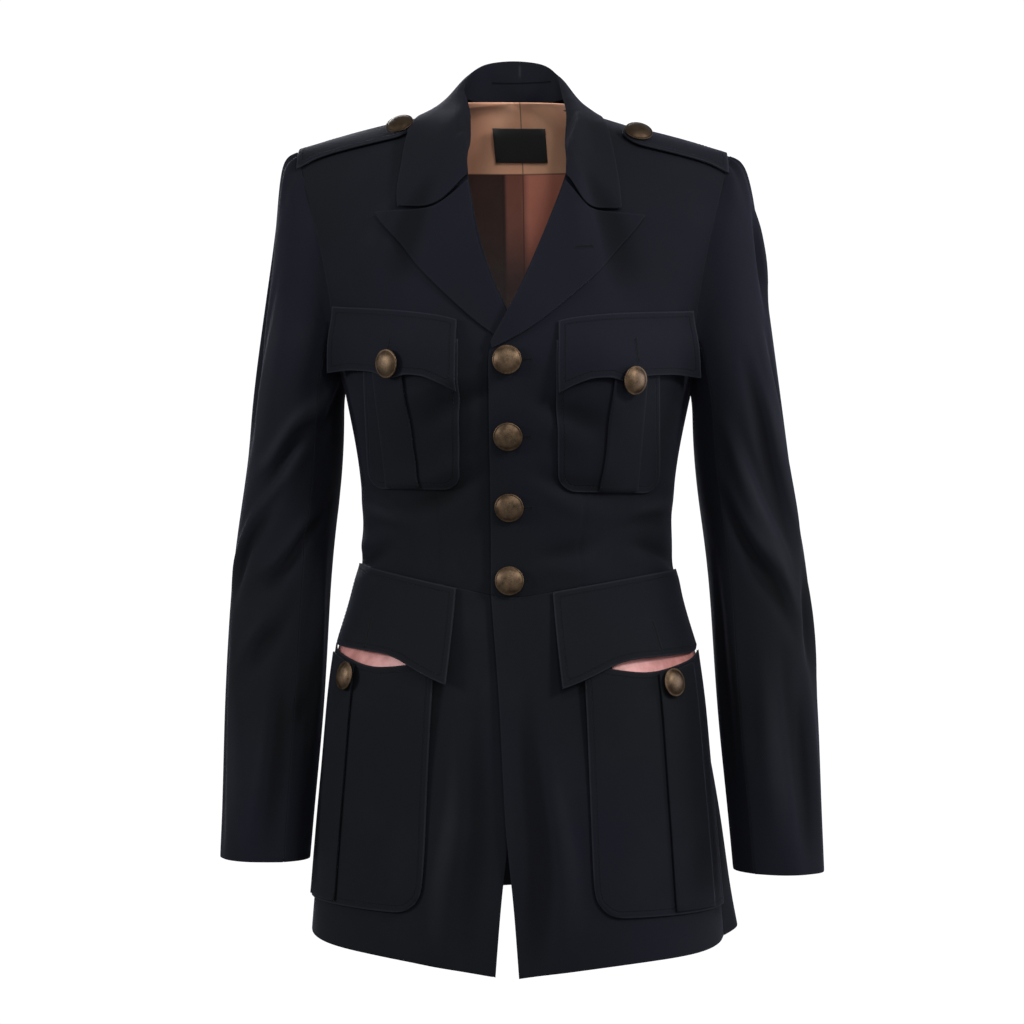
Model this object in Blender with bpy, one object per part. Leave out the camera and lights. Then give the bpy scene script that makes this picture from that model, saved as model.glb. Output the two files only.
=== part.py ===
"""A fitted single-breasted military jacket, worn shape with no wearer: every cut piece is a closed wall.

Metres. +Z is up, the front faces -Y and the wearer's left is +X. The origin is on the shoulders, midway
between the two shoulder tips, where a wearer carries the jacket. A panel is a surface function of a level
and a place along that level, read from the short tables below, and what lies on a panel is made from the
panel's own points, moved out along its normal.
"""

import math
from collections import namedtuple

import bmesh
import bpy
import numpy as np
from mathutils import Vector

# ---------------------------------------------------------------------------------------- driving sizes
CLOTH = 0.0016  # the wool's wall, with its fusing
THIN = 0.0010  # satin lining, pocket bag and label
SEAM = 0.0003  # between two pieces at a seam
FACET = 0.00035  # more along a sleeve, whose flat facets bring the walls' inner edges nearer
LIE = 0.0007  # under a piece that lies on a curved panel
SHOULDER_GAP = 0.0004  # of the front and of the back each, at the side and shoulder seams
OVERLAP = 0.015  # each front passes the centre line by this much
TUCK = 0.0050  # how far the lower front sinks behind the upper one

SHOULDER_X, SHOULDER_Y, SHOULDER_Z = 0.1850, 0.012, -0.028  # where armhole and shoulder seam meet
UNDERARM_X, UNDERARM_Z = 0.1466, -0.2345
ARMHOLE_DEPTH = 0.060  # half of the armhole, front to back
SCOOP_FRONT, SCOOP_BACK = 0.008, 0.002  # how far the armhole is cut in
NECK_X, NECK_TOP = 0.055, 1.87  # neck point on the shoulder seam, and the level of the back neck
NECK_RISE, NECK_RISE_X = 0.0060, 0.039  # the back neck climbs beside the neck
BUST_X, BUST_Z, BUST_OUT = 0.078, -0.215, 0.010  # the dart's fullness, on a general figure

BUTTON_R = 0.0119
FRONT_BUTTONS = (-0.2105, -0.2714, -0.3290, -0.3890)

SIDES = {"left": 1, "right": -1}

# A level is 0 at the waist seam, 1 at the underarm and 2 at the shoulder seam.
Level = namedtuple("Level", "level y z turn")
FRONT = (
    Level(0.00, -0.098, -0.404, 90),
    Level(0.30, -0.099, -0.355, 90),
    Level(0.60, -0.110, -0.300, 90),
    Level(0.85, -0.124, -0.248, 90),
    Level(1.00, -0.129, -0.214, 90),
    Level(1.10, -0.1285, -0.198, 84),
    Level(1.17, -0.127, -0.185, 80),
    Level(1.33, -0.120, -0.150, 68),
    Level(1.50, -0.107, -0.105, 58),
    Level(1.67, -0.087, -0.056, 50),
    Level(1.83, -0.047, -0.007, 42),
    Level(1.92, -0.015, 0.0145, 38),
    Level(2.00, 0.015, 0.028, 34),
)
BACK = (
    Level(0.00, 0.084, -0.386, 90),
    Level(0.30, 0.080, -0.352, 90),
    Level(0.60, 0.090, -0.300, 90),
    Level(0.85, 0.102, -0.255, 90),
    Level(1.00, 0.108, -0.222, 90),
    Level(1.17, 0.112, -0.185, 80),
    Level(1.33, 0.112, -0.145, 70),
    Level(1.50, 0.106, -0.095, 62),
    Level(1.67, 0.093, -0.042, 54),
    Level(1.83, 0.073, 0.006, 44),
    Level(1.87, 0.062, 0.019, 41),
    Level(1.92, 0.046, 0.025, 38),
    Level(2.00, 0.015, 0.028, 34),
)
Side = namedtuple("Side", "level x z")
SIDE = (
    Side(0.00, 0.1330, -0.378),
    Side(0.30, 0.1310, -0.342),
    Side(0.60, 0.1345, -0.298),
    Side(0.85, 0.1415, -0.258),
    Side(1.00, UNDERARM_X, UNDERARM_Z),
)
# The inner border of a front, by height: overlap, then the roll line, then the neckline.
Edge = namedtuple("Edge", "z x")
ROLL = (
    Edge(-0.198, -OVERLAP),
    Edge(-0.165, 0.0030),
    Edge(-0.145, 0.0130),
    Edge(-0.108, 0.0265),
    Edge(-0.065, 0.0385),
    Edge(-0.040, 0.0440),
    Edge(-0.010, 0.0510),
    Edge(0.0160, NECK_X),
)
# The skirt's rings, from the waist seam (0) to the hem (1).
Ring = namedtuple("Ring", "down half_width front back")
SKIRT = (
    Ring(0.00, 0.1330, 0.098, 0.084),
    Ring(0.10, 0.1385, 0.104, 0.093),
    Ring(0.26, 0.1500, 0.113, 0.107),
    Ring(0.43, 0.1580, 0.121, 0.119),
    Ring(0.60, 0.1645, 0.127, 0.129),
    Ring(0.80, 0.1700, 0.130, 0.138),
    Ring(1.00, 0.1750, 0.132, 0.147),
)
Hem = namedtuple("Hem", "turn z")
HEM = (
    Hem(0, -0.7090),
    Hem(20, -0.7010),
    Hem(40, -0.6960),
    Hem(65, -0.6930),
    Hem(90, -0.6880),
    Hem(135, -0.6760),
    Hem(180, -0.6680),
)
BACK_FLARE = {"left": 0.022, "right": 0.006}  # how far the back skirt springs out beyond each side seam
SKIRT_EDGE = (
    Edge(-0.7130, 0.0105),
    Edge(-0.6380, 0.0045),
    Edge(-0.5950, -0.0005),
    Edge(-0.4960, -0.0065),
    Edge(-0.4550, -0.0100),
    Edge(-0.4040, -OVERLAP),
)
# The levels of the panels' rows over the armhole, which the sleeve's rings share.
ARMHOLE_LEVELS = (1.0, 1.1, 1.2, 1.32, 1.44, 1.56, 1.68, 1.79, 1.87, 1.94, 2.0)
SLEEVE_SEAMS = (1.32, 1.44)  # the levels at which the top sleeve meets the under sleeve, in front and behind
# The sleeve's rings fan round the underarm from the armhole (0) to the upper arm (1).
Cap = namedtuple("Cap", "fan x z")
CAP = (
    Cap(0.00, SHOULDER_X, SHOULDER_Z),
    Cap(0.08, 0.1930, -0.0320),
    Cap(0.16, 0.1985, -0.0430),
    Cap(0.28, 0.2015, -0.0650),
    Cap(0.42, 0.2050, -0.0890),
    Cap(0.58, 0.2090, -0.1270),
    Cap(0.74, 0.2145, -0.1660),
    Cap(0.88, 0.2200, -0.2040),
    Cap(1.00, 0.2245, -0.2430),
)
Arm = namedtuple("Arm", "z x half_width y half_depth")
ARM = (
    Arm(-0.628, 0.2160, 0.0385, -0.022, 0.042),
    Arm(-0.573, 0.2130, 0.0400, -0.014, 0.044),
    Arm(-0.510, 0.2095, 0.0425, -0.007, 0.047),
    Arm(-0.446, 0.2060, 0.0430, -0.001, 0.0495),
    Arm(-0.408, 0.2040, 0.0425, 0.003, 0.051),
    Arm(-0.370, 0.2005, 0.0422, 0.005, 0.053),
    Arm(-0.331, 0.1950, 0.0412, 0.005, 0.055),
    Arm(-0.293, 0.1893, 0.0408, 0.004, 0.057),
    Arm(-0.245, 0.1860, 0.0385, 0.003, 0.060),
)
SWING = {"left": 0.0045, "right": -0.0040}  # how far each cuff hangs out from the table's place

# The lapel's free edge, from the break (0) to the peak (1), and its top from roll line (0) to peak (1).
Point = namedtuple("Point", "along x z")
LAPEL_EDGE = (
    Point(0.00, -0.0120, -0.2010),
    Point(0.22, 0.0150, -0.1865),
    Point(0.50, 0.0560, -0.1520),
    Point(0.80, 0.0940, -0.1120),
    Point(1.00, 0.1100, -0.0885),
)
LAPEL_TOP = (
    Point(0.00, 0.0395, -0.0630),
    Point(0.35, 0.0600, -0.0850),
    Point(1.00, 0.1100, -0.0885),
)
LAPEL_ROLL_Z = (-0.196, -0.063)
LAPEL_RISE = 0.0022  # the soft roll stands proud by this much
# The collar, from the centre back (0) to its front end (1): the roll line and the leaf's free edge.
Roll = namedtuple("Roll", "along x y z")
COLLAR_ROLL = (
    Roll(0.00, 0.0000, 0.0660, 0.0600),
    Roll(0.14, 0.0220, 0.0620, 0.0572),
    Roll(0.26, 0.0360, 0.0500, 0.0460),
    Roll(0.40, 0.0415, 0.0290, 0.0305),
    Roll(0.60, 0.0415, -0.0080, 0.0030),
    Roll(0.80, 0.0400, -0.0460, -0.0290),
    Roll(1.00, 0.0395, -0.0810, -0.0590),
)
COLLAR_SEAM = (
    Roll(0.00, 0.0000, 0.0620, 0.0212),
    Roll(0.14, 0.0230, 0.0580, 0.0220),
    Roll(0.26, 0.0420, 0.0460, 0.0250),
    Roll(0.40, 0.0520, 0.0220, 0.0215),
    Roll(0.60, 0.0530, -0.0140, 0.0010),
    Roll(0.80, 0.0480, -0.0470, -0.0300),
    Roll(1.00, 0.0430, -0.0780, -0.0610),
)
COLLAR_EDGE = (
    Roll(0.00, 0.0000, 0.0900, 0.0060),
    Roll(0.14, 0.0340, 0.0860, 0.0050),
    Roll(0.26, 0.0640, 0.0660, 0.0050),
    Roll(0.40, 0.0730, 0.0270, 0.0085),
    Roll(0.60, 0.0810, -0.0230, -0.0040),
    Roll(0.80, 0.0875, -0.0590, -0.0345),
    Roll(1.00, 0.0925, -0.0850, -0.0820),
)
COLLAR_CROWN = 0.0015  # the leaf's soft roll over the seam
COLLAR_NOTCH = 0.0210  # how far the gorge seam runs down before the leaf's free end
Leaf = namedtuple("Leaf", "share fold crown notch")
LEAF = (
    Leaf(0.07, 0.95, 0.0, 0.34),
    Leaf(0.20, 0.80, 0.6, 0.70),
    Leaf(0.38, 0.50, 0.8, 0.98),
    Leaf(0.68, 0.20, 0.6, 0.50),
    Leaf(1.00, 0.00, 0.1, 0.00),
)

FLAP_X, FLAP_Z = (0.0415, 0.148), (-0.179, -0.165)  # the chest flap's seam, inner and outer end
FLAP_SPREAD = (0.007, 0.002)  # how far its lower corners pass its upper ones
FLAP_STRAIGHT, FLAP_BACK = 0.138, 0.6  # beyond this x it runs straight over the armhole, back by this slope
Drop = namedtuple("Drop", "across drop")
CHEST_FLAP = (
    Drop(0.00, 0.0560),
    Drop(0.08, 0.0530),
    Drop(0.25, 0.0490),
    Drop(0.37, 0.0500),
    Drop(0.47, 0.0550),
    Drop(0.58, 0.0500),
    Drop(0.80, 0.0495),
    Drop(1.00, 0.0530),
)
CHEST_POCKET_X, CHEST_POCKET_Z, CHEST_CORNER = (0.0400, 0.120), (-0.195, -0.315), 0.014
CHEST_PLEAT_TOP, CHEST_PLEAT_FOOT = (0.098, -0.212), (0.087, -0.3135)
CHEST_PLEAT_HALF = (0.012, 0.014)
CHEST_BUTTON = {"left": (0.0965, -0.2240), "right": (0.0930, -0.2140)}
LAY = CLOTH + LIE  # one more layer

HIP_FLAP_TURN = {"left": (15.4, 16.5, 88.0), "right": (19.5, 19.1, 88.0)}  # inner top, inner foot, outer
HIP_FLAP = (
    Drop(0.00, 0.0785),
    Drop(0.10, 0.0745),
    Drop(0.32, 0.0645),
    Drop(0.60, 0.0670),
    Drop(0.85, 0.0685),
    Drop(1.00, 0.0640),
)
HIP_FLAP_OUT = 0.0100
HIP_POCKET_TURN, HIP_POCKET_FOOT, HIP_POCKET_HEIGHT, HIP_CORNER = (24.0, 88.0), -0.6600, 0.198, 0.022
Mouth = namedtuple("Mouth", "across z")
HIP_MOUTH = (
    Mouth(0.00, -0.4575),
    Mouth(0.12, -0.4600),
    Mouth(0.22, -0.4625),
    Mouth(0.34, -0.4640),
    Mouth(0.45, -0.4625),
    Mouth(0.60, -0.4585),
    Mouth(0.80, -0.4538),
    Mouth(1.00, -0.4480),
)
HIP_MOUTH_OUT = 0.0065
HIP_LINING_SINK = 0.0027  # the pocket's lining falls back to the skirt above the mouth
HIP_PLEAT_TURN = {"left": (51.0, 72.0), "right": (57.0, 78.0)}
HIP_BUTTON = {"left": (56.0, -0.4725), "right": (59.5, -0.4730)}

EPAULETTE_X = {"left": (0.1810, 0.0950), "right": (0.1810, 0.0790)}
EPAULETTE_BUTTON = 0.012  # from its tip
EPAULETTE_TILT = math.radians(14)  # its shank lets it droop forwards
EPAULETTE_FORWARD = (0.0155, 0.0385)  # its middle line in front of the shoulder seam, outer end and tip
Half = namedtuple("Half", "along half")
EPAULETTE = (
    Half(0.00, 0.0265),
    Half(0.10, 0.0240),
    Half(0.16, 0.0215),
    Half(0.70, 0.0195),
    Half(0.86, 0.0185),
    Half(0.95, 0.0140),
    Half(1.00, 0.0060),
)
LABEL_X, LABEL_Z = (-0.0195, 0.0265), (-0.0240, 0.0030)
LEAN = 0.017  # the wearer's left shoulder, cuff and hem hang lower by this share of their distance out
NECK_LEAN, OPENING_LEAN = 0.006, 0.0075  # the neck leans to the wearer's right, but its opening less so


# ------------------------------------------------------------------------------------------ table curves
def curve(table, column, at):
    """A table's column as a smooth curve of its first column, without overshoot (Fritsch and Carlson)."""
    xs = np.array([row[0] for row in table])
    ys = np.array([getattr(row, column) for row in table])
    at = np.clip(np.asarray(at, dtype=float), xs[0], xs[-1])
    step = np.diff(xs)
    slope = np.diff(ys) / step
    inner = np.where(slope[:-1] * slope[1:] > 0, 2 * slope[:-1] * slope[1:] / (slope[:-1] + slope[1:] + 1e-12), 0)
    tangent = np.concatenate([slope[:1], inner, slope[-1:]])
    i = np.clip(np.searchsorted(xs, at, side="right") - 1, 0, len(xs) - 2)
    t = (at - xs[i]) / step[i]
    return (
        (1 + 2 * t) * (1 - t) ** 2 * ys[i]
        + t * (1 - t) ** 2 * step[i] * tangent[i]
        + t * t * (3 - 2 * t) * ys[i + 1]
        - t * t * (1 - t) * step[i] * tangent[i + 1]
    )


def smooth(low, high, value):
    """0 below low, 1 above high and an S between."""
    t = np.clip((value - low) / (high - low), 0, 1)
    return t * t * (3 - 2 * t)


def stack(x, y, z):
    return np.stack(np.broadcast_arrays(x, y, z), axis=-1).astype(float)


# --------------------------------------------------------------------------------------- panel surfaces
def armhole(level, scoop, depth):
    """The armhole's edge between the underarm (level 1) and the shoulder tip (level 2)."""
    turn = np.radians(180 * (2 - np.asarray(level, dtype=float)))
    rise = np.cos(turn)
    across = np.sin(turn)
    x = (SHOULDER_X + UNDERARM_X) / 2 + (SHOULDER_X - UNDERARM_X) / 2 * rise - scoop * across**2
    y = SHOULDER_Y / 2 * (1 + rise) + depth * across
    z = (SHOULDER_Z + UNDERARM_Z) / 2 + (SHOULDER_Z - UNDERARM_Z) / 2 * rise
    return x, y, z


def border(level, scoop, depth):
    """Where a level ends: on the side seam below the underarm, on the armhole above it."""
    level = np.asarray(level, dtype=float)
    upper = armhole(np.maximum(level, 1), scoop, depth)
    lower = (curve(SIDE, "x", level), np.zeros_like(level), curve(SIDE, "z", level))
    return [np.where(level < 1, low, up) for low, up in zip(lower, upper)]


def half_body(table, scoop, depth, level, x):
    """The point of a level at a distance x from the centre, as part of an arch that turns to its border."""
    x_end, y_end, z_end = border(level, scoop, depth)
    turn = np.radians(curve(table, "turn", level))
    along = x / x_end
    angle = np.arcsin(np.clip(along * np.sin(turn), -1, 1))
    y_mid = curve(table, "y", level)
    z_mid = curve(table, "z", level)
    y = y_mid + (y_end - y_mid) * (1 - np.cos(angle)) / (1 - np.cos(turn))
    return stack(x, y, z_mid + (z_end - z_mid) * np.abs(along))


def front_body(level, x):
    """The front of the body, with the fullness that the darts give over the bust."""
    p = half_body(FRONT, SCOOP_FRONT, -ARMHOLE_DEPTH, level, x)
    full = np.exp(-(((np.abs(p[..., 0]) - BUST_X) / 0.045) ** 2) - ((p[..., 2] - BUST_Z) / 0.050) ** 2)
    p[..., 1] -= BUST_OUT * full * smooth(0.0, 0.05, 0.150 - np.abs(p[..., 0])) + SHOULDER_GAP
    return p


def back_body(level, x):
    p = half_body(BACK, SCOOP_BACK, ARMHOLE_DEPTH, level, x)
    p[..., 1] += SHOULDER_GAP
    beside = np.exp(-(((np.abs(p[..., 0]) - NECK_RISE_X) / 0.018) ** 2))
    p[..., 2] += NECK_RISE * beside * smooth(1.70, 1.88, level) * (1 - smooth(1.93, 2.0, level))
    return p


def skirt(turn, down, flare=0.0):
    """The skirt at a turn in degrees from the centre front (0) to the centre back (180)."""
    angle = np.radians(turn)
    side, ahead = np.sin(angle), np.cos(angle)
    behind = ahead < 0
    half_width = curve(SKIRT, "half_width", down)
    depth = np.where(behind, curve(SKIRT, "back", down), curve(SKIRT, "front", down))
    wave = smooth(90, 106, turn) * (1 - smooth(112, 150, turn))
    flare = flare * np.clip(down, 0, 1) ** 2 * wave
    seam_mid = np.where(behind, BACK[0].z, FRONT[0].z)
    seam = seam_mid + (SIDE[0].z - seam_mid) * np.abs(side) - SEAM
    hem = curve(HEM, "z", np.abs(turn))
    x = side * (half_width + flare)
    y = -ahead * (depth + flare) + np.where(behind, SEAM / 2, -SEAM / 2)
    return stack(x, y, seam + (hem - seam) * down)


def moved(surface, a, b, out, step_a, step_b):
    """A surface's points moved out along its normal; step_a turned towards step_b points outwards."""
    along_a = surface(a + step_a, b) - surface(a - step_a, b)
    along_b = surface(a, b + step_b) - surface(a, b - step_b)
    normal = np.cross(along_a, along_b)
    normal /= np.linalg.norm(normal, axis=-1, keepdims=True)
    return surface(a, b) + normal * np.asarray(out, dtype=float)[..., None]


def level_at(body, x, z):
    """The level at which the front or the back passes a given x and z, by halving."""
    low = np.zeros(np.broadcast(x, z).shape)
    high = np.full_like(low, 2.0)
    for _ in range(26):
        middle = (low + high) / 2
        below = body(middle, x)[..., 2] < z
        low = np.where(below, middle, low)
        high = np.where(below, high, middle)
    return (low + high) / 2


def tuck(x, side):
    """How far the wearer's right front sinks in as it passes under the left one."""
    return -TUCK * smooth(0.045, 0.013, x) if side < 0 else 0 * x


def off_front(level, x, out):
    """The front's point of a level at x, moved out by a given distance."""
    level, x, out = (np.asarray(v, dtype=float) for v in np.broadcast_arrays(level, x, out))
    return moved(lambda a, b: front_body(b, a), x, level, out, 0.0005, 0.002)


def on_front(x, z, out, side):
    """A point of the chest, seen from the front at x and z, moved out by a given distance."""
    x, z, out = (np.asarray(v, dtype=float) for v in np.broadcast_arrays(x, z, out))
    return off_front(level_at(front_body, x, z), x, out + tuck(x, side))


def on_back(level, x, out):
    level, x, out = (np.asarray(v, dtype=float) for v in np.broadcast_arrays(level, x, out))
    return moved(back_body, level, x, out, 0.002, 0.0005)


def down_at(turn, z):
    """How far down the skirt a height lies, at a turn."""
    top, foot = skirt(turn, 0.0 * turn)[..., 2], skirt(turn, 0.0 * turn + 1)[..., 2]
    return np.clip((z - top) / (foot - top), 0, 1)


def on_skirt(turn, z, out):
    turn, z, out = (np.asarray(v, dtype=float) for v in np.broadcast_arrays(turn, z, out))
    return moved(lambda a, b: skirt(a, b), turn, down_at(turn, z), -out, 0.3, 0.004)


def body_cloud():
    """Points of the upper body's cloth and its outward normals, thick enough to find the nearest one."""
    level, share = grid(np.linspace(1.3, 1.999, 60), np.linspace(0, 1, 40))
    places, normals = [], []
    for surface, scoop, depth, edge in (
        (off_front, SCOOP_FRONT, -ARMHOLE_DEPTH, front_start(level)),
        (on_back, SCOOP_BACK, ARMHOLE_DEPTH, NECK_X * np.sqrt(smooth(NECK_TOP, 2.0, level))),
    ):
        x = edge + share * (border(level, scoop, depth)[0] - edge)
        low, high = surface(level, x, 0.0), surface(level, x, 0.001)
        places.append(low.reshape(-1, 3))
        normals.append((high - low).reshape(-1, 3) / 0.001)
    return np.concatenate(places), np.concatenate(normals)


def over_body(point, least, cloud):
    """The point, moved out where it lies over the body's cloth and nearer to it than it should."""
    places, normals = cloud
    nearest = np.argmin(np.linalg.norm(places - point, axis=1))
    offset = point - places[nearest]
    height = offset @ normals[nearest]
    beside = np.linalg.norm(offset - height * normals[nearest])
    return point + normals[nearest] * max(0.0, least - height) * (1 - smooth(0.003, 0.008, beside))


def grid(first, second):
    """Two ranges as a grid of rows (first) and columns (second)."""
    return np.meshgrid(np.asarray(first, dtype=float), np.asarray(second, dtype=float), indexing="ij")


# --------------------------------------------------------------------------------------- making objects
def material(name, colour, roughness, metallic=0.0):
    made = bpy.data.materials.new(name)
    made.use_nodes = True
    shader = made.node_tree.nodes["Principled BSDF"]
    shader.inputs["Base Color"].default_value = (*colour, 1.0)
    shader.inputs["Roughness"].default_value = roughness
    shader.inputs["Metallic"].default_value = metallic
    return made


def lean(points):
    """The jacket's slightly uneven hang: one side lower, and the neck to the other side."""
    points = np.array(points, dtype=float)
    points[..., 2] -= LEAN * points[..., 0]
    x, y, z = points[..., 0], points[..., 1], points[..., 2]
    opening = (1 - smooth(0.045, 0.075, np.abs(x))) * (1 - smooth(-0.01, 0.03, y)) * smooth(-0.12, -0.05, z)
    points[..., 0] -= NECK_LEAN * smooth(-0.12, 0.03, z) - OPENING_LEAN * opening
    return points


def add_object(name, mesh, finish):
    mesh.materials.append(finish)
    made = bpy.data.objects.new(name, mesh)
    bpy.context.scene.collection.objects.link(made)
    return made


def cloth(name, grids, wall, finish, even=True):
    """A sheet through one or more grids of points, whose rows x columns face outwards, given a wall inwards.

    even keeps the wall's thickness at a bend, which a sharp fold can't take.
    """
    shape = bmesh.new()
    for points in map(lean, grids):
        rows, columns = points.shape[:2]
        corners = [[shape.verts.new(points[i, j]) for j in range(columns)] for i in range(rows)]
        for i in range(rows - 1):
            for j in range(columns - 1):
                shape.faces.new((corners[i][j], corners[i][j + 1], corners[i + 1][j + 1], corners[i + 1][j]))
    bmesh.ops.remove_doubles(shape, verts=shape.verts, dist=1e-6)
    mesh = bpy.data.meshes.new(name)
    shape.to_mesh(mesh)
    shape.free()
    made = add_object(name, mesh, finish)
    solid = made.modifiers.new("wall", "SOLIDIFY")
    solid.thickness = wall
    solid.offset = -1
    solid.use_even_offset = even
    return made


def handed(points, side):
    """A wearer's-left grid as it is, or mirrored, with its columns turned round so that it still faces out."""
    if side > 0:
        return points
    return (points * np.array([-1.0, 1.0, 1.0]))[:, ::-1]


Profile = namedtuple("Profile", "radius height")
BUTTON = (
    Profile(0.0030, 0.0000),
    Profile(0.0030, 0.0018),
    Profile(BUTTON_R - 0.0008, 0.0020),
    Profile(BUTTON_R, 0.0028),
    Profile(BUTTON_R - 0.0004, 0.0038),
    Profile(0.0085, 0.0055),
    Profile(0.0045, 0.0064),
)
BUTTON_SIDES = 12


def button(name, seat, out, finish):
    """A domed shank button, turned round the line that leaves its seat."""
    shape = bmesh.new()
    rings = []
    for row in BUTTON:
        turns = [2 * math.pi * k / BUTTON_SIDES for k in range(BUTTON_SIDES)]
        rings.append(
            [shape.verts.new((row.radius * math.cos(t), row.radius * math.sin(t), row.height)) for t in turns]
        )
    for lower, upper in zip(rings, rings[1:]):
        for k in range(BUTTON_SIDES):
            n = (k + 1) % BUTTON_SIDES
            shape.faces.new((lower[k], lower[n], upper[n], upper[k]))
    shape.faces.new(reversed(rings[0]))
    shape.faces.new(rings[-1])
    mesh = bpy.data.meshes.new(name)
    shape.to_mesh(mesh)
    shape.free()
    mesh.shade_smooth()
    made = add_object(name, mesh, finish)
    made.location = lean(seat)
    made.rotation_euler = Vector(out).to_track_quat("Z", "Y").to_euler()
    return made


def seat_and_normal(surface, out):
    """Where a button sits on a surface of one offset, and the way it faces."""
    low, high = surface(out), surface(out + 0.001)
    way = high - low
    return low, way / np.linalg.norm(way)


# ------------------------------------------------------------------------------------------- the pieces
def panel_levels(first):
    """The rows of a front or back: even below the underarm, the armhole's own above it."""
    return np.concatenate([np.linspace(first, 1, 7)[:-1], ARMHOLE_LEVELS])


def front_start(levels):
    """Where each level of a front begins: on the overlap's edge, the roll line or the neckline."""
    x = np.zeros_like(levels)
    for _ in range(30):
        x = 0.5 * x + 0.5 * curve(ROLL, "x", front_body(levels, x)[..., 2])
    return x


FRONT_COLUMNS = 12


def spread(table, scoop, depth, levels, start, columns):
    """Each level's x from its start to its border, in equal turns of the arch."""
    end = border(levels, scoop, depth)[0]
    turn = np.radians(curve(table, "turn", levels))
    first = np.arcsin(start / end * np.sin(turn))
    angle = first[:, None] + (turn - first)[:, None] * np.linspace(0, 1, columns)[None, :]
    return np.sin(angle) / np.sin(turn)[:, None] * end[:, None]


def make_front(name, side, wool):
    levels = panel_levels(0.0)
    x = spread(FRONT, SCOOP_FRONT, -ARMHOLE_DEPTH, levels, front_start(levels), FRONT_COLUMNS)
    points = off_front(levels[:, None], x, tuck(x, side))
    points[0, :, 2] += SEAM / 2
    return cloth(name, [handed(points, side)], CLOTH, wool)


def back_grid(first, last, offset, side, seam=True):
    """One half of the back: from the centre seam, if it has one, up to the neck, then a wing up to the shoulder."""
    levels = np.minimum(panel_levels(first), last)
    wing = np.clip((levels - NECK_TOP) / (2.0 - NECK_TOP), 0, 1)
    start = NECK_X * np.sin(np.arccos(1 - wing))
    x = spread(BACK, SCOOP_BACK, ARMHOLE_DEPTH, levels, start, 10)
    below = levels <= NECK_TOP
    if seam:
        inner = on_back(levels[below], SEAM / 2, -CLOTH)[:, 0]
        x[below, 0] = SEAM + np.maximum(SEAM / 2 - inner, 0)
    else:
        x[below, 0] = 0.0
    points = on_back(levels[:, None], x, offset)
    points[below, 0, 0] = x[below, 0]
    return handed(points[::-1], side)


def make_skirt_front(name, side, wool):
    down = np.linspace(0, 1, 11)
    start = np.zeros_like(down)
    for _ in range(8):
        z = skirt(start, down)[..., 2]
        start = np.degrees(np.arcsin(curve(SKIRT_EDGE, "x", z) / curve(SKIRT, "half_width", down)))
    turn = start[:, None] + (90 - start)[:, None] * np.linspace(0, 1, 13)[None, :]
    turn = np.minimum(turn, 89.99)
    rows = np.broadcast_to(down[:, None], turn.shape)
    inward = tuck(skirt(turn, rows)[..., 0], side)
    points = moved(skirt, turn, rows, -inward, 0.3, 0.004)
    return cloth(name, [handed(points, side)[::-1]], CLOTH, wool)


def make_skirt_back(name, side, wool):
    down, turn = grid(np.linspace(0, 1, 11), 90.01 + 89.99 * np.linspace(0, 1, 13))
    points = skirt(turn, down, BACK_FLARE[side])
    points[:, -1, 0] = SEAM / 2
    return cloth(name, [handed(points, SIDES[side])[::-1]], CLOTH, wool)


def sleeve_turns(piece):
    """Round one of a sleeve's two pieces: 0 is the outer arm, a quarter turn the front and half a turn the inner arm.

    Both have their columns at the armhole's levels and end beside the two long seams.
    """
    half = np.pi * (2 - np.array(ARMHOLE_LEVELS[::-1]))
    front, hind = (half[ARMHOLE_LEVELS[::-1].index(level)] for level in SLEEVE_SEAMS)
    gap = (SEAM / 2 + FACET) / ARM[-1].half_width
    if piece == "top":
        turns = np.concatenate([-half[half <= hind][:0:-1], half[half <= front]])
        return np.concatenate([[turns[0] + gap], turns[1:-1], [turns[-1] - gap]])
    turns = np.concatenate([half[half >= front], 2 * np.pi - half[half >= hind][-2::-1]])
    return np.concatenate([[turns[0] + gap], turns[1:-1], [turns[-1] - gap]])


def sleeve_ring(side, turns, fan=None, z=None):
    """One ring of a sleeve, across its fan round the underarm or at a height down the arm."""
    rise, ahead = np.cos(turns), np.sin(turns)
    if fan is not None:
        outer = np.array([float(curve(CAP, "x", fan)), float(curve(CAP, "z", fan))])
        inner = np.array([UNDERARM_X + 0.0009 * fan, UNDERARM_Z + SEAM - (0.0105 + SEAM) * fan])
        near = (1 - fan) ** 2
        scoop = np.where(ahead > 0, SCOOP_FRONT, SCOOP_BACK) * near
        x = (outer[0] + inner[0]) / 2 + (outer[0] - inner[0]) / 2 * rise - scoop * ahead**2
        z_ring = (outer[1] + inner[1]) / 2 + (outer[1] - inner[1]) / 2 * rise
        y = SHOULDER_Y / 2 * (near + near * rise) + 0.003 * (1 - near) - ARMHOLE_DEPTH * ahead
        return stack(x + 1.8 * SEAM, y, z_ring)
    depth = (z - ARM[-1].z) / (ARM[0].z - ARM[-1].z)
    swing = SWING[side] * depth
    x = float(curve(ARM, "x", z)) + swing + float(curve(ARM, "half_width", z)) * rise + 1.8 * SEAM * (1 - depth)
    y = float(curve(ARM, "y", z)) - float(curve(ARM, "half_depth", z)) * ahead
    return stack(x, y, z + 0.002 * rise * (1 - depth))


def make_sleeve(name, piece, side, wool):
    turns = sleeve_turns(piece)
    rings = [sleeve_ring(side, turns, fan=f) for f in (0, 0.06, 0.13, 0.24, 0.42, 0.65, 1.0)]
    rings += [sleeve_ring(side, turns, z=z) for z in np.linspace(-0.270, ARM[0].z, 10)]
    return cloth(name, [handed(np.array(rings), SIDES[side])], CLOTH, wool)


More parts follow.
